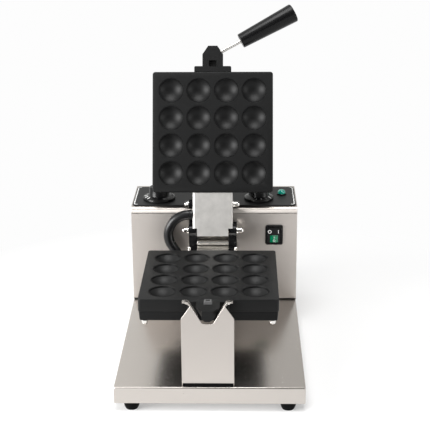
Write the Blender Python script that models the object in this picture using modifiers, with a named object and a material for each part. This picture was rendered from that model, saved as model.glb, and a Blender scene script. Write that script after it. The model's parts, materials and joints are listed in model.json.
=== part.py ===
"""Rotary walnut cake maker: two hinged cup moulds turn on a shaft in front of a control box.

Metres, +Z up. The origin is on the floor under the middle of the whole with its lid open, and the
cook stands at -Y.
"""
from math import atan2, cos, pi, radians, sin

import bmesh
import bpy
from mathutils import Matrix, Vector

# Clearances shared by all the pieces
SEAT_GAP = 0.0003
RUNNING_GAP = 0.0004
CUT_OVERRUN = 0.002
WELD_DISTANCE = 0.00001

# Mould halves
PLATE_SIDE = 0.200
PLATE_THICKNESS = 0.0174
LOWER_PLATE_THICKNESS = 0.0198
LOWER_PLATE_SIDE_MARGIN = 0.0030
LOWER_PLATE_REAR_MARGIN = 0.0040
PLATE_EDGE_RADIUS = 0.0014
CUPS_A_SIDE = 4
CUP_DISTANCE = 0.0459
CUP_RADIUS = 0.0196
CUP_DEPTH = 0.0145
CUP_RIM_CHAMFER = 0.0006
CUP_SEGMENTS = 16
CUP_RINGS = 4
CASING_DEPTH = 0.013
CASING_INSET = 0.002
LOWER_CASING_DEPTH = 0.0148
LOWER_CASING_INSET = 0.0010
CASING_DRAFT = 0.001
CASING_WALL = 0.0012
CASING_EDGE_RADIUS = 0.0024

# Nose on the front of each half
NOSE_LENGTH = 0.0435
NOSE_STRAIGHT = 0.0294
NOSE_HALF_WIDTH = 0.0172
NOSE_TIP_HALF_WIDTH = 0.0076
NOSE_KEEL_HALF_WIDTH = 0.0068
NOSE_DEPTH = 0.0180
NOSE_TIP_DEPTH = 0.0166
NOSE_KEEL_RADIUS = 0.0022
NOSE_KEEL_RISE = 0.0033
NOSE_FOOT_HALF_WIDTH = 0.0307
NOSE_FOOT_LENGTH = 0.0095
NOSE_FOOT_DEPTH = 0.0150
NOSE_FOOT_RADIUS = 0.0020
KEY_DISTANCE = 0.0140
KEY_WIDTH = 0.0118
KEY_LENGTH = 0.0096
KEY_HEIGHT = 0.0040
KEY_TAPER = 0.0012
KEY_PLAY = 0.0007
KEY_POCKET_DEPTH = 0.0070

# Heating elements inside the casings
ELEMENT_RADIUS = 0.0032
ELEMENT_EDGE = 0.020

# Lid hinge and its arm
ARM_PLATE_GAP = 0.0010
PIN_HEIGHT = 0.0134
PIN_RADIUS = 0.0030
PIN_HOLE_PLAY = 0.0003
LID_OPEN_ANGLE = radians(110.0)
ARM_HALF_WIDTH = 0.0334
ARM_TAIL_HALF_WIDTH = 0.0257
ARM_SHEET = 0.0020
ARM_FACE_DEPTH = 0.0115
ARM_BACK_DEPTH = 0.0035
ARM_BEND_RADIUS = 0.0016
ARM_LENGTH = 0.0620
ARM_SHOULDER = 0.0026
ARM_FLANGE_START = 0.0098
ARM_TAIL = 0.0100
KNUCKLE_TAIL = 0.0088
KNUCKLE_LUG_GAP = 0.0072
KNUCKLE_BACK_DEPTH = 0.0058
ARM_BOLT_DISTANCE = 0.0436
ARM_BOLT_DEPTH = 0.0025
LUG_FORK_HALF_GAP = 0.0185
LUG_END_MARGIN = 0.0068
LUG_BODY_LENGTH = 0.0060
NUT_RADIUS = 0.0046
NUT_LENGTH = 0.0098
BOLT_HEAD_LENGTH = 0.0066
NUT_COLLAR_RADIUS = 0.0055
NUT_COLLAR_LENGTH = 0.0018
WASHER_RADIUS = 0.0078
WASHER_THICKNESS = 0.0055

# Bracket that carries the hinge on the shaft
BRACKET_SHEET = 0.0025
BRACKET_HALF_WIDTH = 0.0428
BRACKET_DROP = 0.0130
BRACKET_FLANGE_TOP = 0.0030
BRACKET_BEND_RADIUS = 0.0016
UPRIGHT_HALF_WIDTH = 0.0400
UPRIGHT_RISE = 0.0160
UPRIGHT_TO_PIN = 0.0140
EAR_INNER = 0.0261
EAR_OUTER = 0.0400
EAR_HEAD_RADIUS = 0.0090
EAR_LEG_FRONT = 0.0012
EAR_LEG_BACK = 0.0130
STOP_HORN_LENGTH = 0.0046
STOP_HORN_DEPTH = 0.0048
TIE_BAR_RADIUS = 0.0040
CONDUIT_WING_MARGIN = 0.0049
CONDUIT_WING_EDGE = 0.0336

# Shaft and its bearings in the control box
SHAFT_RADIUS = 0.0080
SHAFT_REACH = 0.0720
COLLAR_RADIUS = 0.0130
COLLAR_LENGTH = 0.0080
BUSH_WALL = 0.0040
BUSH_LENGTH = 0.0100
BUSH_FLANGE_RADIUS = 0.0160
BUSH_FLANGE_THICKNESS = 0.0020
BEARING_STAND_HALF_WIDTH = 0.0300
BEARING_STAND_SHEET = 0.0030
BEARING_STAND_FOOT = 0.0220
BEARING_STAND_BEND = 0.0020
BEARING_STAND_RISE = 0.0220

# Handle on the upper nose
HANDLE_ANGLE = radians(28.4)
HANDLE_ROOT = 0.0294
HANDLE_ROOT_HEIGHT = 0.0210
HANDLE_BOSS_RADIUS = 0.0052
HANDLE_BOSS_HALF_LENGTH = 0.0090
HANDLE_ROD_RADIUS = 0.0035
HANDLE_ROD_START = -0.0050
HANDLE_GRIP_START = 0.0528
HANDLE_GRIP_LENGTH = 0.1014
HANDLE_GRIP_INNER_RADIUS = 0.0124
HANDLE_GRIP_OUTER_RADIUS = 0.0158
HANDLE_GRIP_EDGE = 0.0016
HANDLE_GRIP_BORE = 0.0400

# Control box and base
BRACKET_BOX_GAP = 0.0015
BOX_DEPTH = 0.119
BOX_SHEET = 0.0010
HOOD_LIP_DEPTH = 0.0106
HOOD_LIP_RADIUS = 0.0100
HOOD_SEAM = 0.0008
HOOD_PROUD = 0.0006
AXIS_BELOW_BOX_TOP = 0.048
AXIS_RISE = 0.118
FRONT_MARGIN = 0.0035
ORIGIN_SHIFT = 0.0040
SIDE_MARGIN = 0.0392
AXIS_SHIFT = -0.0020
BASE_HEIGHT = 0.026
BASE_SHEET = 0.0012
BASE_EDGE_RADIUS = 0.0020
BOTTOM_SHEET = 0.0010
BOTTOM_SLOTS = 6
BOTTOM_SLOT_SPACING = 0.012
BOTTOM_SLOT_WIDTH = 0.004
BOTTOM_SLOT_LENGTH = 0.060
FOOT_HEIGHT = 0.013
FOOT_TOP_RADIUS = 0.0124
FOOT_BOTTOM_RADIUS = 0.0107
FOOT_SIDE_INSET = 0.0248
FOOT_END_INSET = 0.0128
PANEL_THICKNESS = 0.0015
PANEL_SIDE_INSET = 0.0020
PANEL_FRONT_INSET = 0.0066
PANEL_REAR_INSET = 0.0100
PANEL_CORNER_RADIUS = 0.0050
REAR_COVER_SHEET = 0.0010
LOUVRES = 7
LOUVRE_SPACING = 0.0090
LOUVRE_LENGTH = 0.0500
LOUVRE_WIDTH = 0.0035
LOUVRE_RISE = 0.0700

# Controls
LEFT_KNOB_INSET = 0.0448
RIGHT_KNOB_INSET = 0.0639
KNOB_BACK = 0.0405
KNOB_SKIRT_RADIUS = 0.0273
TIMER_SKIRT_RADIUS = 0.0248
KNOB_SKIRT_EDGE = 0.0042
KNOB_SKIRT_HEIGHT = 0.0064
KNOB_BODY_RADIUS = 0.0172
KNOB_TOP_RADIUS = 0.0168
KNOB_HEIGHT = 0.0215
KNOB_EDGE = 0.0020
KNOB_LIFT = 0.0006
KNOB_BORE_DEPTH = 0.0140
SPINDLE_RADIUS = 0.0030
SPINDLE_HOLE_PLAY = 0.0010
SPINDLE_SEAT_DEPTH = 0.0060
DIAL_BODY_RADIUS = 0.0190
DIAL_BODY_LENGTH = 0.0220
TIMER_BODY_WIDTH = 0.0440
TIMER_BODY_DEPTH = 0.0360
TIMER_BODY_LENGTH = 0.0310
PILOT_INSET = 0.0245
PILOT_BACK = 0.0650
PILOT_RING_RADIUS = 0.0082
PILOT_RING_HEIGHT = 0.0022
PILOT_LENS_RADIUS = 0.0068
PILOT_LENS_HEIGHT = 0.0086
PILOT_TUBE_RADIUS = 0.0045
PILOT_TUBE_LENGTH = 0.0180
SWITCH_INSET = 0.0384
SWITCH_RISE = 0.1173
SWITCH_WIDTH = 0.0294
SWITCH_HEIGHT = 0.0348
SWITCH_BEZEL = 0.0024
SWITCH_CORNER_RADIUS = 0.0030
SWITCH_BODY_MARGIN = 0.0026
SWITCH_BODY_DEPTH = 0.0190
ROCKER_WIDTH = 0.0210
ROCKER_HEIGHT = 0.0250
ROCKER_PROUD = 0.0022
ROCKER_HALF_ANGLE = radians(8.0)
ROCKER_TRAVEL_GAP = 0.0010
ROCKER_LENS_WIDTH = 0.0132
ROCKER_LENS_HEIGHT = 0.0118
ROCKER_LENS_THICKNESS = 0.0009
TERMINAL_WIDTH = 0.060
TERMINAL_DEPTH = 0.020
TERMINAL_HEIGHT = 0.018
TERMINAL_BACK = 0.088
TERMINAL_EDGE = 0.0010
TERMINAL_INSET = 0.069
GLAND_INSET = 0.054
GLAND_RISE = 0.030
GLAND_RADIUS = 0.0090
GLAND_EDGE = 0.0009
GLAND_PROUD = 0.0050
GLAND_THREAD_RADIUS = 0.0070
GLAND_THREAD_LENGTH = 0.0120
GLAND_NUT_RADIUS = 0.0100
GLAND_NUT_LENGTH = 0.0040
GLAND_BORE_RADIUS = 0.0036

# Cradle that the noses rest in
CRADLE_HALF_WIDTH = 0.0378
CRADLE_SHEET = 0.0020
CRADLE_BEND_RADIUS = 0.0022
CRADLE_FOOT_LENGTH = 0.0240
CRADLE_SHOULDER_BELOW = 0.0116
CRADLE_TIP_ABOVE = 0.0079
CRADLE_TIP_HALF_WIDTH = 0.0242
CRADLE_NOTCH_BELOW = 0.0188
CRADLE_NOTCH_HALF_WIDTH = 0.0080
CRADLE_NOTCH_SAG = 0.0014
CRADLE_SETBACK = 0.0005
GUIDE_SHEET = 0.0014
GUIDE_DEPTH = 0.0090
GUIDE_START_BELOW = 0.0090
GUIDE_TOP_ABOVE = 0.0138
GUIDE_OUTER_HALF_WIDTH = 0.0362
GUIDE_CURL_RADIUS = 0.0060

# Lead in its conduit, from the hinge bracket round to the lower casing
CONDUIT_RADIUS = 0.0080
CONDUIT_LOOP_RADIUS = 0.0353
CONDUIT_BOLT_GAP = 0.0003
CONDUIT_PLANE_AHEAD = 0.0087
CONDUIT_LOOP_SWEEP = radians(128.0)
CONDUIT_LOOP_POINTS = 22
CONDUIT_RUN_POINTS = 12
CONDUIT_RUN_PULL = 0.028
CONDUIT_END_X = -0.0580
CONDUIT_GLAND_RADIUS = 0.0085
CONDUIT_UPPER_GLAND_LENGTH = 0.0045
CONDUIT_LEAD_IN = 0.0006
CONDUIT_LOWER_GLAND_LENGTH = 0.0130
CONDUIT_GLAND_NECK_RADIUS = 0.0046
CONDUIT_GLAND_TAPER_RADIUS = 0.0068

# Places that follow from the sizes above
PIN_TO_PLATE = ARM_LENGTH + ARM_PLATE_GAP
LUG_FORK_LENGTH = PIN_TO_PLATE - SEAT_GAP - LUG_BODY_LENGTH - ARM_BOLT_DISTANCE + LUG_END_MARGIN
KNUCKLE_LENGTH = ARM_BOLT_DISTANCE - LUG_END_MARGIN - KNUCKLE_LUG_GAP
REAR_GAP = PIN_TO_PLATE + UPRIGHT_TO_PIN + BRACKET_SHEET + BRACKET_BOX_GAP
OPEN_LEAN = LID_OPEN_ANGLE - pi / 2
ARM_BOLT_OPEN_RISE = PIN_HEIGHT + ARM_BOLT_DISTANCE * cos(OPEN_LEAN) + ARM_BOLT_DEPTH * sin(OPEN_LEAN)
CONDUIT_GLAND_RISE = ARM_BOLT_OPEN_RISE - WASHER_RADIUS - CONDUIT_BOLT_GAP - CONDUIT_GLAND_RADIUS
CONDUIT_LOOP_RISE = CONDUIT_GLAND_RISE - CONDUIT_LOOP_RADIUS
CONDUIT_WING_RISE = CONDUIT_GLAND_RISE + CONDUIT_WING_MARGIN
BASE_WIDTH = PLATE_SIDE + 2 * SIDE_MARGIN
BASE_DEPTH = FRONT_MARGIN + NOSE_LENGTH + PLATE_SIDE + REAR_GAP + BOX_DEPTH
BASE_FRONT_Y = -BASE_DEPTH / 2 - ORIGIN_SHIFT
BASE_REAR_Y = BASE_FRONT_Y + BASE_DEPTH
BOX_FRONT_Y = BASE_REAR_Y - BOX_DEPTH
BOX_HEIGHT = AXIS_RISE + AXIS_BELOW_BOX_TOP
DECK_Z = FOOT_HEIGHT + BASE_HEIGHT
BOX_TOP_Z = DECK_Z + BOX_HEIGHT
PANEL_TOP_Z = BOX_TOP_Z + SEAT_GAP + PANEL_THICKNESS
AXIS_X = AXIS_SHIFT
LEFT_KNOB_X = LEFT_KNOB_INSET - BASE_WIDTH / 2
RIGHT_KNOB_X = BASE_WIDTH / 2 - RIGHT_KNOB_INSET
PILOT_X = BASE_WIDTH / 2 - PILOT_INSET
SWITCH_X = BASE_WIDTH / 2 - SWITCH_INSET
TERMINAL_X = TERMINAL_INSET - BASE_WIDTH / 2
GLAND_X = GLAND_INSET - BASE_WIDTH / 2
AXIS_Z = DECK_Z + AXIS_RISE
PLATE_REAR_Y = BOX_FRONT_Y - REAR_GAP
LOWER_PLATE_REAR_Y = PLATE_REAR_Y + LOWER_PLATE_REAR_MARGIN
PIN_Y = PLATE_REAR_Y + PIN_TO_PLATE
UPRIGHT_FRONT_Y = PIN_Y + UPRIGHT_TO_PIN
CONDUIT_PLANE_Y = UPRIGHT_FRONT_Y - CONDUIT_PLANE_AHEAD

# Colour, metallic value and roughness of each material
FINISHES = {
    "brushed_steel": ((0.56, 0.53, 0.50), 1.0, 0.32),
    "frosted_steel": ((0.62, 0.61, 0.59), 1.0, 0.42),
    "bright_steel": ((0.70, 0.69, 0.67), 1.0, 0.16),
    "nonstick_black": ((0.030, 0.031, 0.033), 0.0, 0.48),
    "gloss_black": ((0.012, 0.012, 0.013), 0.0, 0.14),
    "panel_black": ((0.040, 0.041, 0.043), 0.0, 0.40),
    "rubber_black": ((0.020, 0.020, 0.021), 0.0, 0.70),
    "pilot_green": ((0.02, 0.42, 0.34), 0.0, 0.08),
    "rocker_green": ((0.00, 0.26, 0.12), 0.0, 0.20),
    "brass": ((0.72, 0.53, 0.24), 1.0, 0.30),
    "white_ceramic": ((0.80, 0.79, 0.75), 0.0, 0.45),
    "element_grey": ((0.22, 0.21, 0.20), 1.0, 0.50),
}
SMOOTH_ANGLE = radians(32.0)
TURNED_STEPS = 24
INNER_TURNED_STEPS = 16
SMALL_TURNED_STEPS = 14


def clear_scene():
    for old in list(bpy.data.objects):
        bpy.data.objects.remove(old, do_unlink=True)


def new_collection(name):
    made = bpy.data.collections.new(name)
    bpy.context.scene.collection.children.link(made)
    return made


def material(name):
    found = bpy.data.materials.get(name)
    if found:
        return found
    colour, metallic, roughness = FINISHES[name]
    made = bpy.data.materials.new(name)
    made.use_nodes = True
    shader = made.node_tree.nodes["Principled BSDF"]
    shader.inputs["Base Color"].default_value = (*colour, 1.0)
    shader.inputs["Metallic"].default_value = metallic
    shader.inputs["Roughness"].default_value = roughness
    made.diffuse_color = (*colour, 1.0)
    return made


def part(name, mesh, finish, parent=None, place=(0, 0, 0), turn=(0, 0, 0)):
    """Add one sub-part, smooth where it is round, at a place in its parent's frame."""
    made = bpy.data.objects.new(name, mesh)
    PARTS.objects.link(made)
    made.parent = parent
    made.location = place
    made.rotation_euler = turn
    mesh.materials.clear()
    mesh.materials.append(material(finish))
    smooth(mesh)
    return made


def smooth(mesh):
    if mesh.polygons:
        mesh.shade_smooth()
        mesh.set_sharp_from_angle(angle=SMOOTH_ANGLE)


def cutter(name, mesh, parent=None, place=(0, 0, 0), turn=(0, 0, 0)):
    made = bpy.data.objects.new(name, mesh)
    CUTTERS.objects.link(made)
    made.parent = parent
    made.location = place
    made.rotation_euler = turn
    made.hide_render = True
    made.display_type = "WIRE"
    return made


def frame(name, parent=None, place=(0, 0, 0), turn=(0, 0, 0)):
    """An empty that carries the pieces of one body or one mould half."""
    made = bpy.data.objects.new(name, None)
    PARTS.objects.link(made)
    made.parent = parent
    made.location = place
    made.rotation_euler = turn
    return made


def boolean(target, other, operation="DIFFERENCE"):
    modifier = target.modifiers.new(operation.title() + " " + other.name, "BOOLEAN")
    modifier.object = other
    modifier.operation = operation
    modifier.solver = "EXACT"


def bevel(target, width, segments=2):
    modifier = target.modifiers.new("Bevel", "BEVEL")
    modifier.width = width
    modifier.segments = segments
    modifier.limit_method = "ANGLE"


def solidify(target, thickness, offset=-1.0):
    modifier = target.modifiers.new("Solidify", "SOLIDIFY")
    modifier.thickness = thickness
    modifier.offset = offset
    modifier.use_even_offset = True


def to_mesh(name, shape):
    bmesh.ops.recalc_face_normals(shape, faces=shape.faces)
    mesh = bpy.data.meshes.new(name)
    shape.to_mesh(mesh)
    shape.free()
    return mesh


def block(name, low, high):
    """A box between two corners."""
    low = Vector(low)
    high = Vector(high)
    shape = bmesh.new()
    size = high - low
    matrix = Matrix.Translation((low + high) / 2) @ Matrix.Diagonal((*size, 1))
    bmesh.ops.create_cube(shape, size=1, matrix=matrix)
    return to_mesh(name, shape)


def cylinder(name, radius, length, segments=TURNED_STEPS):
    """A cylinder along +Z from the origin."""
    shape = bmesh.new()
    bmesh.ops.create_cone(shape, cap_ends=True, segments=segments, radius1=radius, radius2=radius,
                          depth=length, matrix=Matrix.Translation((0, 0, length / 2)))
    return to_mesh(name, shape)


def profile_mesh(name, points, closed=False):
    """A line of (radius, height) points for a Screw modifier."""
    shape = bmesh.new()
    corners = [shape.verts.new((radius, 0, height)) for radius, height in points]
    for first, second in zip(corners, corners[1:]):
        shape.edges.new((first, second))
    if closed:
        shape.edges.new((corners[-1], corners[0]))
    mesh = bpy.data.meshes.new(name)
    shape.to_mesh(mesh)
    shape.free()
    return mesh


def turn_profile(target, steps=TURNED_STEPS):
    modifier = target.modifiers.new("Screw", "SCREW")
    modifier.axis = "Z"
    modifier.steps = steps
    modifier.render_steps = steps
    modifier.use_merge_vertices = True
    modifier.merge_threshold = WELD_DISTANCE
    modifier.use_smooth_shade = True


def turned(name, points, finish, parent=None, place=(0, 0, 0), turn=(0, 0, 0),
           steps=TURNED_STEPS, closed=False):
    """A turned piece; its profile runs down the outer side, from top to bottom."""
    made = part(name, profile_mesh(name, points, closed), finish, parent, place, turn)
    turn_profile(made, steps)
    return made


def arc(centre, radius, start, end, count):
    """Points on an arc in a plane, both ends included; angles in radians."""
    points = []
    for index in range(count + 1):
        angle = start + (end - start) * index / count
        points.append((centre[0] + radius * cos(angle), centre[1] + radius * sin(angle)))
    return points


def rounded_path(points, radius, count=3):
    """An open line in a plane with its inner corners turned into arcs."""
    line = [Vector(point) for point in points]
    result = [line[0]]
    for before, corner, after in zip(line, line[1:], line[2:]):
        back = (before - corner).normalized()
        ahead = (after - corner).normalized()
        half = back.angle(ahead) / 2
        reach = radius / max(WELD_DISTANCE, abs(sin(half) / cos(half)))
        first = corner + back * reach
        last = corner + ahead * reach
        middle = corner + (back + ahead).normalized() * (radius / sin(half))
        for index in range(count + 1):
            blend = first.lerp(last, index / count)
            result.append(middle + (blend - middle).normalized() * radius)
    result.append(line[-1])
    return [tuple(point) for point in result]


def rounded_outline(points, radius, count=3):
    """A closed outline in a plane with rounded corners."""
    line = [points[-1], *points, points[0]]
    return rounded_path(line, radius, count)[1:-1]


def strip(name, path, low, high, plane="YZ"):
    """An open sheet: a line in the YZ or XZ plane drawn out along the third axis."""
    shape = bmesh.new()
    rows = []
    for first, second in path:
        if plane == "YZ":
            ends = ((low, first, second), (high, first, second))
        else:
            ends = ((first, low, second), (first, high, second))
        rows.append([shape.verts.new(end) for end in ends])
    for (a, b), (c, d) in zip(rows, rows[1:]):
        shape.faces.new((a, b, d, c))
    mesh = bpy.data.meshes.new(name)
    shape.to_mesh(mesh)
    shape.free()
    return mesh


def slab(name, outline, low, high, plane="XY"):
    """A closed solid: an outline in one plane drawn out between two levels of the third axis."""
    place = {
        "XY": lambda a, b, c: (a, b, c),
        "YZ": lambda a, b, c: (c, a, b),
        "XZ": lambda a, b, c: (a, c, b),
    }[plane]
    shape = bmesh.new()
    face = shape.faces.new([shape.verts.new(place(a, b, low)) for a, b in outline])
    drawn = bmesh.ops.extrude_face_region(shape, geom=[face])
    moved = [item for item in drawn["geom"] if isinstance(item, bmesh.types.BMVert)]
    bmesh.ops.translate(shape, verts=moved, vec=place(0, 0, high - low))
    return to_mesh(name, shape)


def loft(name, sections):
    """A closed solid through sections that have the same number of points."""
    shape = bmesh.new()
    rings = [[shape.verts.new(point) for point in section] for section in sections]
    for ring, following in zip(rings, rings[1:]):
        for index, corner in enumerate(ring):
            after = (index + 1) % len(ring)
            shape.faces.new((corner, ring[after], following[after], following[index]))
    shape.faces.new(rings[0])
    shape.faces.new(rings[-1])
    return to_mesh(name, shape)


def open_shell(name, low, high, open_sides, radius, segments=2):
    """The skin of a box without its open sides, with rounded edges where two skins meet."""
    low = Vector(low)
    high = Vector(high)
    shape = bmesh.new()
    matrix = Matrix.Translation((low + high) / 2) @ Matrix.Diagonal((*(high - low), 1))
    bmesh.ops.create_cube(shape, size=1, matrix=matrix)
    dropped = [face for face in shape.faces
               if any(face.normal.dot(Vector(side)) > cos(SMOOTH_ANGLE) for side in open_sides)]
    bmesh.ops.delete(shape, geom=dropped, context="FACES")
    bends = [edge for edge in shape.edges if not edge.is_boundary]
    bmesh.ops.bevel(shape, geom=bends, offset=radius, segments=segments, profile=0.5,
                    affect="EDGES", clamp_overlap=True)
    mesh = bpy.data.meshes.new(name)
    shape.to_mesh(mesh)
    shape.free()
    return mesh


def tube(name, points, radius, finish, parent=None, resolution=2):
    """A tube along hand-set or computed points, as a mesh with closed ends."""
    curve = bpy.data.curves.new(name, "CURVE")
    curve.dimensions = "3D"
    curve.bevel_depth = radius
    curve.bevel_resolution = resolution
    curve.use_fill_caps = True
    spline = curve.splines.new("POLY")
    spline.points.add(len(points) - 1)
    for target, point in zip(spline.points, points):
        target.co = (*point, 1)
    guide = bpy.data.objects.new(name + "_line", curve)
    PARTS.objects.link(guide)
    evaluated = guide.evaluated_get(bpy.context.evaluated_depsgraph_get())
    mesh = bpy.data.meshes.new_from_object(evaluated)
    bpy.data.objects.remove(guide, do_unlink=True)
    shape = bmesh.new()
    shape.from_mesh(mesh)
    bmesh.ops.remove_doubles(shape, verts=shape.verts, dist=WELD_DISTANCE)
    bpy.data.meshes.remove(mesh)
    return part(name, to_mesh(name, shape), finish, parent)


def bolt_profile(length, nut_length, head_length):
    """A rod along Z and centred, with a domed nut above, a domed head below and their collars."""
    half = length / 2
    ends = []
    for end_length in (nut_length, head_length):
        top = half + end_length + NUT_COLLAR_LENGTH
        dome = [(NUT_RADIUS * sin(angle), top - NUT_RADIUS * (1 - cos(angle)))
                for angle in (0, pi / 6, pi / 3, pi / 2)]
        ends.append([*dome, (NUT_RADIUS, half + NUT_COLLAR_LENGTH),
                     (NUT_COLLAR_RADIUS, half + NUT_COLLAR_LENGTH), (NUT_COLLAR_RADIUS, half),
                     (PIN_RADIUS, half)])
    return ends[0] + [(radius, -height) for radius, height in reversed(ends[1])]


def build_base():
    tray = part("base_tray", open_shell("base_tray", (-BASE_WIDTH / 2, BASE_FRONT_Y, FOOT_HEIGHT),
                                        (BASE_WIDTH / 2, BASE_REAR_Y, DECK_Z), [(0, 0, -1)],
                                        BASE_EDGE_RADIUS), "brushed_steel")
    solidify(tray, BASE_SHEET)
    inset = BASE_SHEET + SEAT_GAP
    outline = rounded_outline([(-BASE_WIDTH / 2 + inset, BASE_FRONT_Y + inset),
                               (BASE_WIDTH / 2 - inset, BASE_FRONT_Y + inset),
                               (BASE_WIDTH / 2 - inset, BASE_REAR_Y - inset),
                               (-BASE_WIDTH / 2 + inset, BASE_REAR_Y - inset)], BASE_EDGE_RADIUS)
    bottom = part("base_bottom_plate", slab("base_bottom_plate", outline, FOOT_HEIGHT,
                                            FOOT_HEIGHT + BOTTOM_SHEET), "brushed_steel")
    slots = cutter("bottom_vent_slot", slot_mesh("bottom_vent_slot", BOTTOM_SLOT_LENGTH,
                                                 BOTTOM_SLOT_WIDTH, BOTTOM_SHEET + 2 * CUT_OVERRUN),
                   place=(0, BOX_FRONT_Y + BOX_DEPTH / 2 - BOTTOM_SLOT_SPACING * (BOTTOM_SLOTS - 1) / 2,
                          FOOT_HEIGHT - CUT_OVERRUN))
    repeat(slots, BOTTOM_SLOTS, (0, BOTTOM_SLOT_SPACING, 0))
    boolean(bottom, slots)
    for side, across in (("left", -1), ("right", 1)):
        for end, along in (("front", BASE_FRONT_Y + FOOT_END_INSET),
                           ("rear", BASE_REAR_Y - FOOT_END_INSET)):
            place = (across * (BASE_WIDTH / 2 - FOOT_SIDE_INSET), along, 0)
            top = FOOT_HEIGHT - SEAT_GAP
            turned("foot_" + end + "_" + side, [(0, top), (FOOT_TOP_RADIUS, top),
                                                (FOOT_BOTTOM_RADIUS, 0), (0, 0)],
                   "rubber_black", place=place, steps=20)


def slot_mesh(name, length, width, height):
    """A slot with round ends along X, drawn out along Z, for a cutter."""
    radius = width / 2
    reach = length / 2 - radius
    outline = arc((reach, 0), radius, -pi / 2, pi / 2, 4) + arc((-reach, 0), radius, pi / 2, 3 * pi / 2, 4)
    return slab(name, outline, 0, height)


def repeat(target, count, step):
    modifier = target.modifiers.new("Array", "ARRAY")
    modifier.count = count
    modifier.use_relative_offset = False
    modifier.use_constant_offset = True
    modifier.constant_offset_displace = step


def cradle_flank(rise):
    """Half width of the V notch at a height above the rotation axis."""
    share = (CRADLE_TIP_ABOVE - rise) / (CRADLE_TIP_ABOVE + CRADLE_NOTCH_BELOW)
    return CRADLE_TIP_HALF_WIDTH + (CRADLE_NOTCH_HALF_WIDTH - CRADLE_TIP_HALF_WIDTH) * share


def build_cradle():
    front = BASE_FRONT_Y + FRONT_MARGIN - CRADLE_SETBACK
    middle = front + CRADLE_SHEET / 2
    low = DECK_Z + SEAT_GAP + CRADLE_SHEET / 2 + CRADLE_BEND_RADIUS
    half = [(CRADLE_HALF_WIDTH, low), (CRADLE_HALF_WIDTH, AXIS_Z - CRADLE_SHOULDER_BELOW),
            (CRADLE_TIP_HALF_WIDTH, AXIS_Z + CRADLE_TIP_ABOVE),
            (CRADLE_NOTCH_HALF_WIDTH, AXIS_Z - CRADLE_NOTCH_BELOW),
            (CRADLE_NOTCH_HALF_WIDTH / 2, AXIS_Z - CRADLE_NOTCH_BELOW - CRADLE_NOTCH_SAG * 3 / 4)]
    outline = half + [(0, AXIS_Z - CRADLE_NOTCH_BELOW - CRADLE_NOTCH_SAG)]
    outline += [(-x, z) for x, z in reversed(half)]
    shape = bmesh.new()
    corners = [shape.verts.new((AXIS_X + x, middle, z)) for x, z in outline]
    shape.faces.new(corners)
    bend = arc((middle + CRADLE_BEND_RADIUS, low), CRADLE_BEND_RADIUS, pi, 3 * pi / 2, 4)[1:]
    bend.append((middle + CRADLE_FOOT_LENGTH, low - CRADLE_BEND_RADIUS))
    right, left = corners[0], corners[-1]
    for y, z in bend:
        next_right = shape.verts.new((AXIS_X + CRADLE_HALF_WIDTH, y, z))
        next_left = shape.verts.new((AXIS_X - CRADLE_HALF_WIDTH, y, z))
        shape.faces.new((right, left, next_left, next_right))
        right, left = next_right, next_left
    cradle = part("cradle_support", to_mesh("cradle_support", shape), "brushed_steel")
    solidify(cradle, CRADLE_SHEET, 0.0)
    for side, across in (("left", -1), ("right", 1)):
        start = (cradle_flank(-GUIDE_START_BELOW), -GUIDE_START_BELOW)
        knee = (cradle_flank(GUIDE_TOP_ABOVE), GUIDE_TOP_ABOVE)
        tip = (GUIDE_OUTER_HALF_WIDTH, GUIDE_TOP_ABOVE - GUIDE_SHEET)
        path = rounded_path([start, knee, tip], GUIDE_CURL_RADIUS, 5)
        path = [(AXIS_X + across * x, AXIS_Z + z) for x, z in path]
        back = front + CRADLE_SHEET + SEAT_GAP
        guide = part("nose_guide_" + side, strip("nose_guide_" + side, path, back, back + GUIDE_DEPTH,
                                                 "XZ"), "bright_steel")
        solidify(guide, GUIDE_SHEET, across)


def lip_line(inward, low):
    """Front edge and rounded lip of the hood in the YZ plane, moved inward from its outer skin."""
    front = BOX_FRONT_Y - HOOD_PROUD
    bend = arc((front + HOOD_LIP_RADIUS, BOX_TOP_Z - HOOD_LIP_RADIUS), HOOD_LIP_RADIUS - inward,
               pi, pi / 2, 5)
    return [(front + inward, low), *bend, (BASE_REAR_Y, BOX_TOP_Z - inward)]


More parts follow.
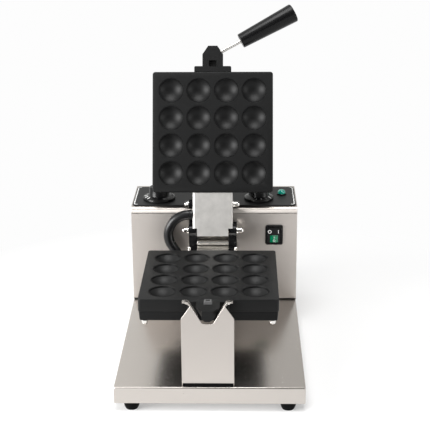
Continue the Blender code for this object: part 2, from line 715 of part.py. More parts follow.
def build_box():
    """Front and sides in one sheet, with a hood that carries the panel and a cover behind."""
    low_z = DECK_Z + SEAT_GAP
    side = BASE_WIDTH / 2
    lip_z = BOX_TOP_Z - HOOD_LIP_DEPTH
    profile = [(BOX_FRONT_Y, low_z), (BOX_FRONT_Y, lip_z - HOOD_SEAM),
               *lip_line(BOX_SHEET + SEAT_GAP, lip_z - HOOD_SEAM), (BASE_REAR_Y, low_z)]
    shape = bmesh.new()
    rings = []
    for x in (-side, side):
        ring = [shape.verts.new((x, y, z)) for y, z in profile]
        shape.faces.new(ring if x < 0 else list(reversed(ring)))
        rings.append(ring)
    left, right = rings
    shape.faces.new((left[1], left[0], right[0], right[1]))
    mesh = bpy.data.meshes.new("control_box_shell")
    shape.to_mesh(mesh)
    shape.free()
    shell = part("control_box_shell", mesh, "brushed_steel")
    solidify(shell, BOX_SHEET)
    boolean(shell, axle_cutter("front_bush_hole", SHAFT_RADIUS + RUNNING_GAP + BUSH_WALL + SEAT_GAP,
                               BOX_FRONT_Y - CUT_OVERRUN, BOX_SHEET + 2 * CUT_OVERRUN))
    body_x = SWITCH_WIDTH / 2 - SWITCH_BODY_MARGIN + SEAT_GAP
    body_z = SWITCH_HEIGHT / 2 - SWITCH_BODY_MARGIN + SEAT_GAP
    middle_z = DECK_Z + SWITCH_RISE
    boolean(shell, cutter("switch_cut_out", block(
        "switch_cut_out", (SWITCH_X - body_x, BOX_FRONT_Y - CUT_OVERRUN, middle_z - body_z),
        (SWITCH_X + body_x, BOX_FRONT_Y + BOX_SHEET + CUT_OVERRUN, middle_z + body_z))))
    hood = part("control_box_hood", strip("control_box_hood", lip_line(BOX_SHEET / 2, lip_z),
                                          -side, side), "brushed_steel")
    solidify(hood, BOX_SHEET, 0.0)
    for hole in top_holes("hood"):
        boolean(hood, hole)

    inset = BOX_SHEET + SEAT_GAP
    cover = part("control_box_rear_cover", block(
        "control_box_rear_cover", (-side + inset, BASE_REAR_Y - REAR_COVER_SHEET, low_z),
        (side - inset, BASE_REAR_Y, BOX_TOP_Z - inset)), "brushed_steel")
    louvre = cutter("louvre", slot_mesh("louvre", LOUVRE_LENGTH, LOUVRE_WIDTH,
                                        REAR_COVER_SHEET + 2 * CUT_OVERRUN),
                    place=(0, BASE_REAR_Y + CUT_OVERRUN, DECK_Z + LOUVRE_RISE), turn=(pi / 2, 0, 0))
    repeat(louvre, LOUVRES, (0, LOUVRE_SPACING, 0))
    boolean(cover, louvre)
    boolean(cover, cutter("gland_hole", cylinder("gland_hole", GLAND_THREAD_RADIUS + SEAT_GAP,
                                                 REAR_COVER_SHEET + 2 * CUT_OVERRUN, 20),
                          place=(GLAND_X, BASE_REAR_Y + CUT_OVERRUN, DECK_Z + GLAND_RISE),
                          turn=(pi / 2, 0, 0)))

    outline = rounded_outline([(-side + PANEL_SIDE_INSET, BOX_FRONT_Y + PANEL_FRONT_INSET),
                               (side - PANEL_SIDE_INSET, BOX_FRONT_Y + PANEL_FRONT_INSET),
                               (side - PANEL_SIDE_INSET, BASE_REAR_Y - PANEL_REAR_INSET),
                               (-side + PANEL_SIDE_INSET, BASE_REAR_Y - PANEL_REAR_INSET)],
                              PANEL_CORNER_RADIUS)
    panel = part("control_panel_plate", slab("control_panel_plate", outline, BOX_TOP_Z + SEAT_GAP,
                                             PANEL_TOP_Z), "panel_black")
    for hole in top_holes("panel"):
        boolean(panel, hole)


def top_holes(owner):
    """Cutters for the spindles and the pilot light through the top of the box."""
    low = BOX_TOP_Z - BOX_SHEET - CUT_OVERRUN
    length = PANEL_TOP_Z + CUT_OVERRUN - low
    holes = []
    for name, x, back, radius in (("left_spindle", LEFT_KNOB_X, KNOB_BACK, SPINDLE_RADIUS),
                                  ("right_spindle", RIGHT_KNOB_X, KNOB_BACK, SPINDLE_RADIUS),
                                  ("pilot", PILOT_X, PILOT_BACK, PILOT_TUBE_RADIUS)):
        label = "_".join((owner, name, "hole"))
        holes.append(cutter(label, cylinder(label, radius + SPINDLE_HOLE_PLAY, length, 16),
                            place=(x, BOX_FRONT_Y + back, low)))
    return holes


def axle_cutter(name, radius, start_y, length, parent=None, centre=(AXIS_X, AXIS_Z)):
    """A round cutter along +Y from start_y."""
    return cutter(name, cylinder(name, radius, length), parent,
                  (centre[0], start_y, centre[1]), (-pi / 2, 0, 0))


def build_controls():
    knob_y = BOX_FRONT_Y + KNOB_BACK
    inside_z = BOX_TOP_Z - BOX_SHEET - SEAT_GAP
    for name, x, skirt in (("thermostat", LEFT_KNOB_X, KNOB_SKIRT_RADIUS),
                           ("timer", RIGHT_KNOB_X, TIMER_SKIRT_RADIUS)):
        low = PANEL_TOP_Z + KNOB_LIFT
        bore = SPINDLE_RADIUS + SEAT_GAP
        turned(name + "_knob", [
            (0, KNOB_HEIGHT), (KNOB_TOP_RADIUS - KNOB_EDGE, KNOB_HEIGHT),
            (KNOB_TOP_RADIUS, KNOB_HEIGHT - KNOB_EDGE), (KNOB_BODY_RADIUS, KNOB_SKIRT_HEIGHT),
            (skirt - KNOB_EDGE, KNOB_SKIRT_EDGE), (skirt, KNOB_SKIRT_EDGE - KNOB_EDGE), (skirt, 0),
            (bore, 0), (bore, KNOB_BORE_DEPTH), (0, KNOB_BORE_DEPTH)],
            "gloss_black", place=(x, knob_y, low))
        foot = inside_z - SPINDLE_SEAT_DEPTH
        turned(name + "_spindle", [
            (0, low + KNOB_BORE_DEPTH - SEAT_GAP), (SPINDLE_RADIUS, low + KNOB_BORE_DEPTH - SEAT_GAP),
            (SPINDLE_RADIUS, foot), (0, foot)], "bright_steel", place=(x, knob_y, 0),
            steps=SMALL_TURNED_STEPS)

    well = SPINDLE_RADIUS + RUNNING_GAP
    well_floor = inside_z - SPINDLE_SEAT_DEPTH - RUNNING_GAP
    turned("thermostat_body", [
        (well, inside_z), (DIAL_BODY_RADIUS, inside_z), (DIAL_BODY_RADIUS, inside_z - DIAL_BODY_LENGTH),
        (0, inside_z - DIAL_BODY_LENGTH), (0, well_floor), (well, well_floor)], "white_ceramic",
        place=(LEFT_KNOB_X, knob_y, 0), steps=INNER_TURNED_STEPS, closed=True)
    timer = part("timer_body", block(
        "timer_body", (-TIMER_BODY_WIDTH / 2, -TIMER_BODY_DEPTH / 2, inside_z - TIMER_BODY_LENGTH),
        (TIMER_BODY_WIDTH / 2, TIMER_BODY_DEPTH / 2, inside_z)), "white_ceramic",
        place=(RIGHT_KNOB_X, knob_y, 0))
    boolean(timer, cutter("timer_well", cylinder("timer_well", well, SPINDLE_SEAT_DEPTH + 2 * CUT_OVERRUN),
                          place=(RIGHT_KNOB_X, knob_y, well_floor)))

    pilot_y = BOX_FRONT_Y + PILOT_BACK
    seat = PANEL_TOP_Z + SEAT_GAP
    turned("pilot_light_ring", [
        (PILOT_LENS_RADIUS, PILOT_RING_HEIGHT), (PILOT_RING_RADIUS, PILOT_RING_HEIGHT),
        (PILOT_RING_RADIUS, 0), (PILOT_TUBE_RADIUS, 0), (PILOT_TUBE_RADIUS, -PILOT_TUBE_LENGTH),
        (0, -PILOT_TUBE_LENGTH), (0, PILOT_RING_HEIGHT / 2), (PILOT_LENS_RADIUS, PILOT_RING_HEIGHT / 2)],
        "gloss_black", place=(PILOT_X, pilot_y, seat), steps=INNER_TURNED_STEPS, closed=True)
    low = PILOT_RING_HEIGHT / 2 + SEAT_GAP
    radius = PILOT_LENS_RADIUS - SEAT_GAP
    dome = [(radius * sin(angle), low + PILOT_RING_HEIGHT + (PILOT_LENS_HEIGHT - low - PILOT_RING_HEIGHT)
             * cos(angle)) for angle in (0, pi / 6, pi / 3, pi / 2)]
    turned("pilot_light_lens", [*dome, (radius, low), (0, low)], "pilot_green",
           place=(PILOT_X, pilot_y, seat), steps=INNER_TURNED_STEPS)

    build_switch()

    terminal_z = DECK_Z + SEAT_GAP
    terminal = part("terminal_block", block(
        "terminal_block", (-TERMINAL_WIDTH / 2, -TERMINAL_DEPTH / 2, terminal_z),
        (TERMINAL_WIDTH / 2, TERMINAL_DEPTH / 2, terminal_z + TERMINAL_HEIGHT)), "white_ceramic",
        place=(TERMINAL_X, BOX_FRONT_Y + TERMINAL_BACK, 0))
    bevel(terminal, TERMINAL_EDGE, 1)
    cover_front = BASE_REAR_Y - REAR_COVER_SHEET
    turned("cable_gland", [
        (GLAND_BORE_RADIUS, GLAND_PROUD), (GLAND_RADIUS - GLAND_EDGE, GLAND_PROUD),
        (GLAND_RADIUS, GLAND_PROUD - GLAND_EDGE), (GLAND_RADIUS, SEAT_GAP),
        (GLAND_THREAD_RADIUS, SEAT_GAP), (GLAND_THREAD_RADIUS, -REAR_COVER_SHEET - SEAT_GAP),
        (GLAND_NUT_RADIUS, -REAR_COVER_SHEET - SEAT_GAP),
        (GLAND_NUT_RADIUS, -REAR_COVER_SHEET - SEAT_GAP - GLAND_NUT_LENGTH),
        (GLAND_THREAD_RADIUS, -REAR_COVER_SHEET - SEAT_GAP - GLAND_NUT_LENGTH),
        (GLAND_THREAD_RADIUS, -GLAND_THREAD_LENGTH), (GLAND_BORE_RADIUS, -GLAND_THREAD_LENGTH)],
        "gloss_black", place=(GLAND_X, cover_front + REAR_COVER_SHEET, DECK_Z + GLAND_RISE),
        turn=(-pi / 2, 0, 0), steps=INNER_TURNED_STEPS, closed=True)


def build_switch():
    """Bezel with a body through the box, and a rocker that turns about X inside it."""
    middle = (SWITCH_X, BOX_FRONT_Y, DECK_Z + SWITCH_RISE)
    half_x = SWITCH_WIDTH / 2
    half_z = SWITCH_HEIGHT / 2
    outline = rounded_outline([(-half_x, -half_z), (half_x, -half_z), (half_x, half_z),
                               (-half_x, half_z)], SWITCH_CORNER_RADIUS, 3)
    housing = part("rocker_switch_housing", slab("rocker_switch_housing", outline,
                                                 -SWITCH_BEZEL - SEAT_GAP, -SEAT_GAP, "XZ"),
                   "gloss_black", place=middle)
    body_x = half_x - SWITCH_BODY_MARGIN
    body_z = half_z - SWITCH_BODY_MARGIN
    body = cutter("switch_body", block("switch_body", (-body_x, -SWITCH_BEZEL / 2, -body_z),
                                       (body_x, SWITCH_BODY_DEPTH, body_z)), place=middle)
    boolean(housing, body, "UNION")
    gap = ROCKER_TRAVEL_GAP
    well = cutter("rocker_well", block(
        "rocker_well", (-ROCKER_WIDTH / 2 - gap / 2, -SWITCH_BEZEL - CUT_OVERRUN, -ROCKER_HEIGHT / 2 - gap),
        (ROCKER_WIDTH / 2 + gap / 2, ROCKER_HEIGHT / 2, ROCKER_HEIGHT / 2 + gap)), place=middle)
    boolean(housing, well)
    pivot = frame("rocker_pivot", place=middle)
    # The face is a shallow V: pressed in above the pivot and standing proud below it.
    crown = -SWITCH_BEZEL - ROCKER_PROUD
    rise = ROCKER_HEIGHT / 2 * sin(ROCKER_HALF_ANGLE)
    back = ROCKER_HEIGHT / 4
    side = [(crown + 2 * rise, ROCKER_HEIGHT / 2), (crown + rise, 0), (crown, -ROCKER_HEIGHT / 2),
            (back / 2, -ROCKER_HEIGHT / 2), (back, 0), (back / 2, ROCKER_HEIGHT / 2)]
    part("power_rocker", slab("power_rocker", side, -ROCKER_WIDTH / 2, ROCKER_WIDTH / 2, "YZ"),
         "gloss_black", pivot)
    lens_low = -ROCKER_HEIGHT / 2 + SEAT_GAP * 2
    lens_high = lens_low + ROCKER_LENS_HEIGHT
    slope = rise / (ROCKER_HEIGHT / 2)
    front = [(crown + slope * (z + ROCKER_HEIGHT / 2) - SEAT_GAP, z) for z in (lens_low, lens_high)]
    lens = [front[0], front[1], (front[1][0] - ROCKER_LENS_THICKNESS, lens_high),
            (front[0][0] - ROCKER_LENS_THICKNESS, lens_low)]
    part("rocker_lens", slab("rocker_lens", lens, -ROCKER_LENS_WIDTH / 2, ROCKER_LENS_WIDTH / 2, "YZ"),
         "rocker_green", pivot)


def bush(name, start_y, finish="brass"):
    """A flanged bush along +Y with its flange at start_y."""
    inner = SHAFT_RADIUS + RUNNING_GAP
    outer = inner + BUSH_WALL
    turned(name, [(inner, BUSH_LENGTH), (outer, BUSH_LENGTH), (outer, BUSH_FLANGE_THICKNESS),
                  (BUSH_FLANGE_RADIUS, BUSH_FLANGE_THICKNESS), (BUSH_FLANGE_RADIUS, 0), (inner, 0)],
           finish, place=(AXIS_X, start_y, AXIS_Z), turn=(-pi / 2, 0, 0), steps=INNER_TURNED_STEPS,
           closed=True)


def build_bearings():
    """The shaft runs in a bush in the box front and in one on a stand inside."""
    inner = SHAFT_RADIUS + RUNNING_GAP
    outer = inner + BUSH_WALL
    start = BOX_FRONT_Y - RUNNING_GAP * 2
    turned("shaft_bush_front", [
        (inner, BUSH_LENGTH), (outer, BUSH_LENGTH), (outer, 0), (inner, 0)], "brass",
        place=(AXIS_X, start, AXIS_Z), turn=(-pi / 2, 0, 0), steps=INNER_TURNED_STEPS, closed=True)
    turned("front_bearing_ring", [
        (outer + SEAT_GAP, BUSH_LENGTH - BUSH_FLANGE_THICKNESS),
        (BUSH_FLANGE_RADIUS, BUSH_LENGTH - BUSH_FLANGE_THICKNESS),
        (BUSH_FLANGE_RADIUS, BOX_SHEET + RUNNING_GAP * 2 + SEAT_GAP),
        (outer + SEAT_GAP, BOX_SHEET + RUNNING_GAP * 2 + SEAT_GAP)], "bright_steel",
        place=(AXIS_X, start, AXIS_Z), turn=(-pi / 2, 0, 0), steps=INNER_TURNED_STEPS, closed=True)
    stand_y = UPRIGHT_FRONT_Y + SHAFT_REACH - COLLAR_LENGTH - BUSH_LENGTH - SEAT_GAP * 2
    bush("shaft_bush_rear", stand_y)
    sheet_y = stand_y + BUSH_FLANGE_THICKNESS + SEAT_GAP + BEARING_STAND_SHEET / 2
    low = DECK_Z + SEAT_GAP + BEARING_STAND_SHEET / 2
    path = rounded_path([(sheet_y, AXIS_Z + BEARING_STAND_RISE), (sheet_y, low),
                         (sheet_y + BEARING_STAND_FOOT, low)],
                        BEARING_STAND_BEND + BEARING_STAND_SHEET / 2, 3)
    stand = part("bearing_stand", strip("bearing_stand", path, AXIS_X - BEARING_STAND_HALF_WIDTH,
                                        AXIS_X + BEARING_STAND_HALF_WIDTH), "brushed_steel")
    solidify(stand, BEARING_STAND_SHEET, 0.0)
    boolean(stand, axle_cutter("stand_hole", SHAFT_RADIUS + RUNNING_GAP + BUSH_WALL + SEAT_GAP,
                               sheet_y - BEARING_STAND_SHEET - CUT_OVERRUN,
                               2 * (BEARING_STAND_SHEET + CUT_OVERRUN)))


def build_half(prefix, half, thickness, side_margin, rear, casing_depth, inset):
    """One mould half, cups facing +Z, from its rear edge at y = 0 to its front at -PLATE_SIDE."""
    top = -SEAT_GAP
    low = top - thickness
    side = PLATE_SIDE / 2
    wide = side + side_margin
    plate = part(prefix + "_mould_plate", block(prefix + "_mould_plate", (-wide, -PLATE_SIDE, low),
                                                (wide, rear, top)), "nonstick_black", half)
    bevel(plate, PLATE_EDGE_RADIUS)
    sphere = (CUP_RADIUS ** 2 + CUP_DEPTH ** 2) / (2 * CUP_DEPTH)
    sweep = 2 * cup_half_angle()
    rim = CUP_RADIUS + CUP_RIM_CHAMFER
    profile = [(0, CUT_OVERRUN), (rim, CUT_OVERRUN), (rim, 0)]
    for index in range(CUP_RINGS + 1):
        angle = sweep / 2 * (1 - index / CUP_RINGS)
        height = sphere - CUP_DEPTH - sphere * cos(angle)
        profile.append((sphere * sin(angle), height - CUP_RIM_CHAMFER * (1 - index / CUP_RINGS)))
    edge = CUP_DISTANCE * (CUPS_A_SIDE - 1) / 2
    cup = cutter(prefix + "_cup", profile_mesh(prefix + "_cup", profile), half,
                 (-edge, -side - edge, top))
    turn_profile(cup, CUP_SEGMENTS)
    repeat(cup, CUPS_A_SIDE, (CUP_DISTANCE, 0, 0))
    repeat(cup, CUPS_A_SIDE, (0, CUP_DISTANCE, 0))
    boolean(plate, cup)

    casing_top = low - SEAT_GAP
    mesh = open_shell(prefix + "_casing", (-wide + inset, -PLATE_SIDE + inset, casing_top - casing_depth),
                      (wide - inset, rear - inset, casing_top), [(0, 0, 1)], CASING_EDGE_RADIUS)
    shrink = 1 - CASING_DRAFT / side
    for corner in mesh.vertices:
        if corner.co.z < casing_top - WELD_DISTANCE:
            share = (casing_top - corner.co.z) / casing_depth
            factor = 1 - (1 - shrink) * share
            corner.co.x *= factor
            corner.co.y = (corner.co.y + side) * factor - side
    casing = part(prefix + "_casing", mesh, "nonstick_black", half)
    solidify(casing, CASING_WALL)

    level = casing_top - ELEMENT_RADIUS
    turn_radius = CUP_DISTANCE / 2
    near = -ELEMENT_EDGE
    far = -PLATE_SIDE + ELEMENT_EDGE
    points = [(-edge, near, level)]
    for leg in range(CUPS_A_SIDE - 1):
        x = -edge + turn_radius * (2 * leg + 1)
        forward = leg % 2 == 0
        centre_y = far + turn_radius if forward else near - turn_radius
        start, end = (pi, 2 * pi) if forward else (pi, 0)
        points += [(a, b, level) for a, b in arc((x, centre_y), turn_radius, start, end, 6)]
    points.append((edge, far if CUPS_A_SIDE % 2 else near, level))
    tube(prefix + "_heating_element", points, ELEMENT_RADIUS, "element_grey", half, 1)
    return casing


def cup_half_angle():
    return 2 * atan2(CUP_DEPTH, CUP_RADIUS)


def build_nose(prefix, half):
    """The boat-shaped nose in front of a mould half, with its foot on the plate's edge."""
    top = -SEAT_GAP
    start = -PLATE_SIDE - SEAT_GAP

    def section(y, half_width, depth, keel):
        return [(-half_width, y, top), (half_width, y, top),
                (keel + NOSE_KEEL_RADIUS, y, -depth + NOSE_KEEL_RISE),
                (keel - NOSE_KEEL_RADIUS, y, -depth), (-keel + NOSE_KEEL_RADIUS, y, -depth),
                (-keel - NOSE_KEEL_RADIUS, y, -depth + NOSE_KEEL_RISE)]

    keel = NOSE_KEEL_HALF_WIDTH
    tip_keel = keel * NOSE_TIP_HALF_WIDTH / (NOSE_KEEL_HALF_WIDTH + NOSE_KEEL_RADIUS)
    sections = [section(start, NOSE_HALF_WIDTH, NOSE_DEPTH, keel),
                section(-PLATE_SIDE - NOSE_STRAIGHT, NOSE_HALF_WIDTH, NOSE_DEPTH, keel),
                section(-PLATE_SIDE - NOSE_LENGTH, NOSE_TIP_HALF_WIDTH, NOSE_TIP_DEPTH, tip_keel)]
    nose = part(prefix + "_nose", loft(prefix + "_nose", sections), "nonstick_black", half)
    wide = NOSE_FOOT_HALF_WIDTH
    front = -PLATE_SIDE - NOSE_FOOT_LENGTH
    outline = [(-wide, start), *arc((-wide + NOSE_FOOT_RADIUS, front + NOSE_FOOT_RADIUS),
                                    NOSE_FOOT_RADIUS, pi, 3 * pi / 2, 3),
               *arc((wide - NOSE_FOOT_RADIUS, front + NOSE_FOOT_RADIUS), NOSE_FOOT_RADIUS,
                    3 * pi / 2, 2 * pi, 3), (wide, start)]
    foot = cutter(prefix + "_nose_foot", slab(prefix + "_nose_foot", outline, -NOSE_FOOT_DEPTH, top), half)
    boolean(nose, foot, "UNION")
    return nose


def key_sections(play, low, high):
    """The locating key between the noses, tapered so that the lid can swing onto it."""
    sections = []
    for level, grow in ((low, KEY_TAPER + play), (high, play)):
        half_x = KEY_WIDTH / 2 - KEY_TAPER + grow
        half_y = KEY_LENGTH / 2 - KEY_TAPER + grow
        middle = -PLATE_SIDE - KEY_DISTANCE
        sections.append([(-half_x, middle - half_y, level), (half_x, middle - half_y, level),
                         (half_x, middle + half_y, level), (-half_x, middle + half_y, level)])
    return sections


def build_lower(rotor):
    half = frame("lower_mould_frame", rotor, (0, PLATE_REAR_Y, 0))
    rear = LOWER_PLATE_REAR_MARGIN
    casing = build_half("lower", half, LOWER_PLATE_THICKNESS, LOWER_PLATE_SIDE_MARGIN, rear,
                        LOWER_CASING_DEPTH, LOWER_CASING_INSET)
    nose = build_nose("lower", half)
    boolean(nose, cutter("lower_key", loft("lower_key", key_sections(0, -CUT_OVERRUN, KEY_HEIGHT)), half),
            "UNION")
    level = lower_casing_level()
    boolean(casing, cutter("casing_gland_hole", cylinder(
        "casing_gland_hole", CONDUIT_GLAND_NECK_RADIUS + SEAT_GAP, 2 * (CASING_WALL + CUT_OVERRUN), 16),
        half, (CONDUIT_END_X, rear - LOWER_CASING_INSET + CASING_WALL + CUT_OVERRUN, level), (pi / 2, 0, 0)))


def lower_casing_level():
    """Height of the middle of the lower casing's wall below the parting plane."""
    return -(2 * SEAT_GAP + LOWER_PLATE_THICKNESS + LOWER_CASING_DEPTH / 2)


def build_upper(lid):
    half = frame("upper_mould_frame", lid, (0, -PIN_TO_PLATE, -PIN_HEIGHT), (0, pi, 0))
    build_half("upper", half, PLATE_THICKNESS, 0, 0, CASING_DEPTH, CASING_INSET)
    nose = build_nose("upper", half)
    boolean(nose, cutter("upper_key_pocket", loft("upper_key_pocket", key_sections(
        KEY_PLAY, CUT_OVERRUN, -KEY_POCKET_DEPTH)), half))
    bore = HANDLE_ROD_RADIUS + SEAT_GAP
    root = (0, -PIN_TO_PLATE - PLATE_SIDE - HANDLE_ROOT, -PIN_HEIGHT + HANDLE_ROOT_HEIGHT)
    along = (0, pi / 2, -HANDLE_ANGLE)
    handle = frame("handle_line", lid, root, along)
    boss = cylinder("rod_boss", HANDLE_BOSS_RADIUS, 2 * HANDLE_BOSS_HALF_LENGTH, 16)
    boolean(nose, cutter("rod_boss", boss, handle, (0, 0, -HANDLE_BOSS_HALF_LENGTH)), "UNION")
    boolean(nose, cutter("rod_hole", cylinder("rod_hole", bore, HANDLE_GRIP_START, 16),
                         handle, (0, 0, HANDLE_ROD_START - SEAT_GAP)))
    turned("handle_rod", [
        (0, HANDLE_GRIP_START + HANDLE_GRIP_BORE - SEAT_GAP),
        (HANDLE_ROD_RADIUS, HANDLE_GRIP_START + HANDLE_GRIP_BORE - SEAT_GAP),
        (HANDLE_ROD_RADIUS, HANDLE_ROD_START), (0, HANDLE_ROD_START)], "bright_steel", handle,
        steps=SMALL_TURNED_STEPS)
    end = HANDLE_GRIP_START + HANDLE_GRIP_LENGTH
    turned("handle_grip", [
        (0, end), (HANDLE_GRIP_OUTER_RADIUS - HANDLE_GRIP_EDGE, end),
        (HANDLE_GRIP_OUTER_RADIUS, end - HANDLE_GRIP_EDGE),
        (HANDLE_GRIP_INNER_RADIUS, HANDLE_GRIP_START + HANDLE_GRIP_EDGE / 2),
        (HANDLE_GRIP_INNER_RADIUS - HANDLE_GRIP_EDGE / 2, HANDLE_GRIP_START),
        (bore, HANDLE_GRIP_START), (bore, HANDLE_GRIP_START + HANDLE_GRIP_BORE),
        (0, HANDLE_GRIP_START + HANDLE_GRIP_BORE)], "gloss_black", handle)


def pin_cutter(name, radius, half_length, parent, place):
    return cutter(name, cylinder(name, radius, 2 * half_length, 16), parent,
                  (-half_length, place[0], place[1]), (0, pi / 2, 0))


def build_arm(lid):
    """The hinge arm in the closed lid's frame: origin on the pin, the mould towards -Y."""
    hole = PIN_RADIUS + PIN_HOLE_PLAY
    wide = ARM_HALF_WIDTH - ARM_SHEET / 2
    face = -ARM_FACE_DEPTH + ARM_SHEET / 2
    path = rounded_path([(-wide, ARM_BACK_DEPTH), (-wide, face), (wide, face), (wide, ARM_BACK_DEPTH)],
                        ARM_BEND_RADIUS + ARM_SHEET / 2, 3)
    arm = part("upper_hinge_arm", strip("upper_hinge_arm", path, -ARM_LENGTH, ARM_TAIL, "XZ"),
               "frosted_steel", lid)
    solidify(arm, ARM_SHEET, 0.0)
    outside = ARM_HALF_WIDTH + CUT_OVERRUN
    face_back = -ARM_FACE_DEPTH + ARM_SHEET
    for name, sign in (("left", -1), ("right", 1)):
        edge = sorted((sign * ARM_TAIL_HALF_WIDTH, sign * outside))
        flank = [(edge[0], -ARM_SHOULDER, -ARM_FACE_DEPTH - CUT_OVERRUN),
                 (edge[1], ARM_TAIL + CUT_OVERRUN, ARM_BACK_DEPTH + CUT_OVERRUN)]
        boolean(arm, cutter("arm_tail_cut_" + name, block("arm_tail_cut_" + name, *flank), lid))
    boolean(arm, cutter("arm_flange_cut", block(
        "arm_flange_cut", (-outside, -ARM_FLANGE_START, face_back),
        (outside, ARM_TAIL + CUT_OVERRUN, ARM_BACK_DEPTH + CUT_OVERRUN)), lid))
    bolt = (-ARM_BOLT_DISTANCE, -ARM_BOLT_DEPTH)
    boolean(arm, pin_cutter("arm_bolt_hole", hole, outside, lid, bolt))

    knuckle_wide = ARM_TAIL_HALF_WIDTH - SEAT_GAP - ARM_SHEET / 2
    knuckle_face = face_back + SEAT_GAP + ARM_SHEET / 2
    path = rounded_path([(-knuckle_wide, KNUCKLE_BACK_DEPTH), (-knuckle_wide, knuckle_face),
                         (knuckle_wide, knuckle_face), (knuckle_wide, KNUCKLE_BACK_DEPTH)],
                        ARM_BEND_RADIUS + ARM_SHEET / 2, 3)
    knuckle = part("hinge_knuckle", strip("hinge_knuckle", path, -KNUCKLE_LENGTH, KNUCKLE_TAIL, "XZ"),
                   "brushed_steel", lid)
    solidify(knuckle, ARM_SHEET, 0.0)
    boolean(knuckle, pin_cutter("knuckle_pin_hole", hole, outside, lid, (0, 0)))

    lug_front = -PIN_TO_PLATE + SEAT_GAP
    lug_side = ARM_HALF_WIDTH - ARM_SHEET - SEAT_GAP
    lug_low = face_back + SEAT_GAP
    lug_back = lug_front + LUG_BODY_LENGTH + LUG_FORK_LENGTH
    lug = part("upper_hinge_lug", block("upper_hinge_lug", (-lug_side, lug_front, lug_low),
                                        (lug_side, lug_back, ARM_BACK_DEPTH)), "nonstick_black", lid)
    bevel(lug, ARM_BEND_RADIUS)
    boolean(lug, cutter("lug_fork", block(
        "lug_fork", (-LUG_FORK_HALF_GAP, lug_front + LUG_BODY_LENGTH, lug_low - CUT_OVERRUN),
        (LUG_FORK_HALF_GAP, lug_back + CUT_OVERRUN, ARM_BACK_DEPTH + CUT_OVERRUN)), lid))
    boolean(lug, pin_cutter("lug_bolt_hole", hole, outside, lid, bolt))

    side = ARM_HALF_WIDTH + SEAT_GAP
    washer_inner = PIN_RADIUS + SEAT_GAP
    turned("arm_bolt_washer", [
        (washer_inner, WASHER_THICKNESS), (WASHER_RADIUS, WASHER_THICKNESS), (WASHER_RADIUS, 0),
        (washer_inner, 0)], "rubber_black", lid, (-side, *bolt), (0, -pi / 2, 0), closed=True)
    left_end = side + WASHER_THICKNESS + SEAT_GAP
    length = left_end + side
    turned("upper_arm_bolt", bolt_profile(length, NUT_LENGTH, BOLT_HEAD_LENGTH), "bright_steel",
           lid, ((side - left_end) / 2, *bolt), (0, pi / 2, 0), SMALL_TURNED_STEPS)


def ear_outline():
    """Side view of a hinge ear about the pin: leg behind, round head, and the lid's stop horn."""
    foot = -PIN_HEIGHT - BRACKET_DROP + SEAT_GAP
    head = arc((0, 0), EAR_HEAD_RADIUS, radians(-98.0), radians(-262.0), 9)
    lean = OPEN_LEAN
    gap = ARM_BACK_DEPTH + SEAT_GAP

    def on_arm(along, behind):
        return (along * sin(lean) + behind * cos(lean), along * cos(lean) - behind * sin(lean))

    horn = [on_arm(ARM_FLANGE_START, gap), on_arm(ARM_FLANGE_START + STOP_HORN_LENGTH, gap),
            on_arm(ARM_FLANGE_START + STOP_HORN_LENGTH, gap + STOP_HORN_DEPTH)]
    return [(-EAR_LEG_FRONT, foot), *head, *horn, (EAR_LEG_BACK, 0), (EAR_LEG_BACK, foot)]


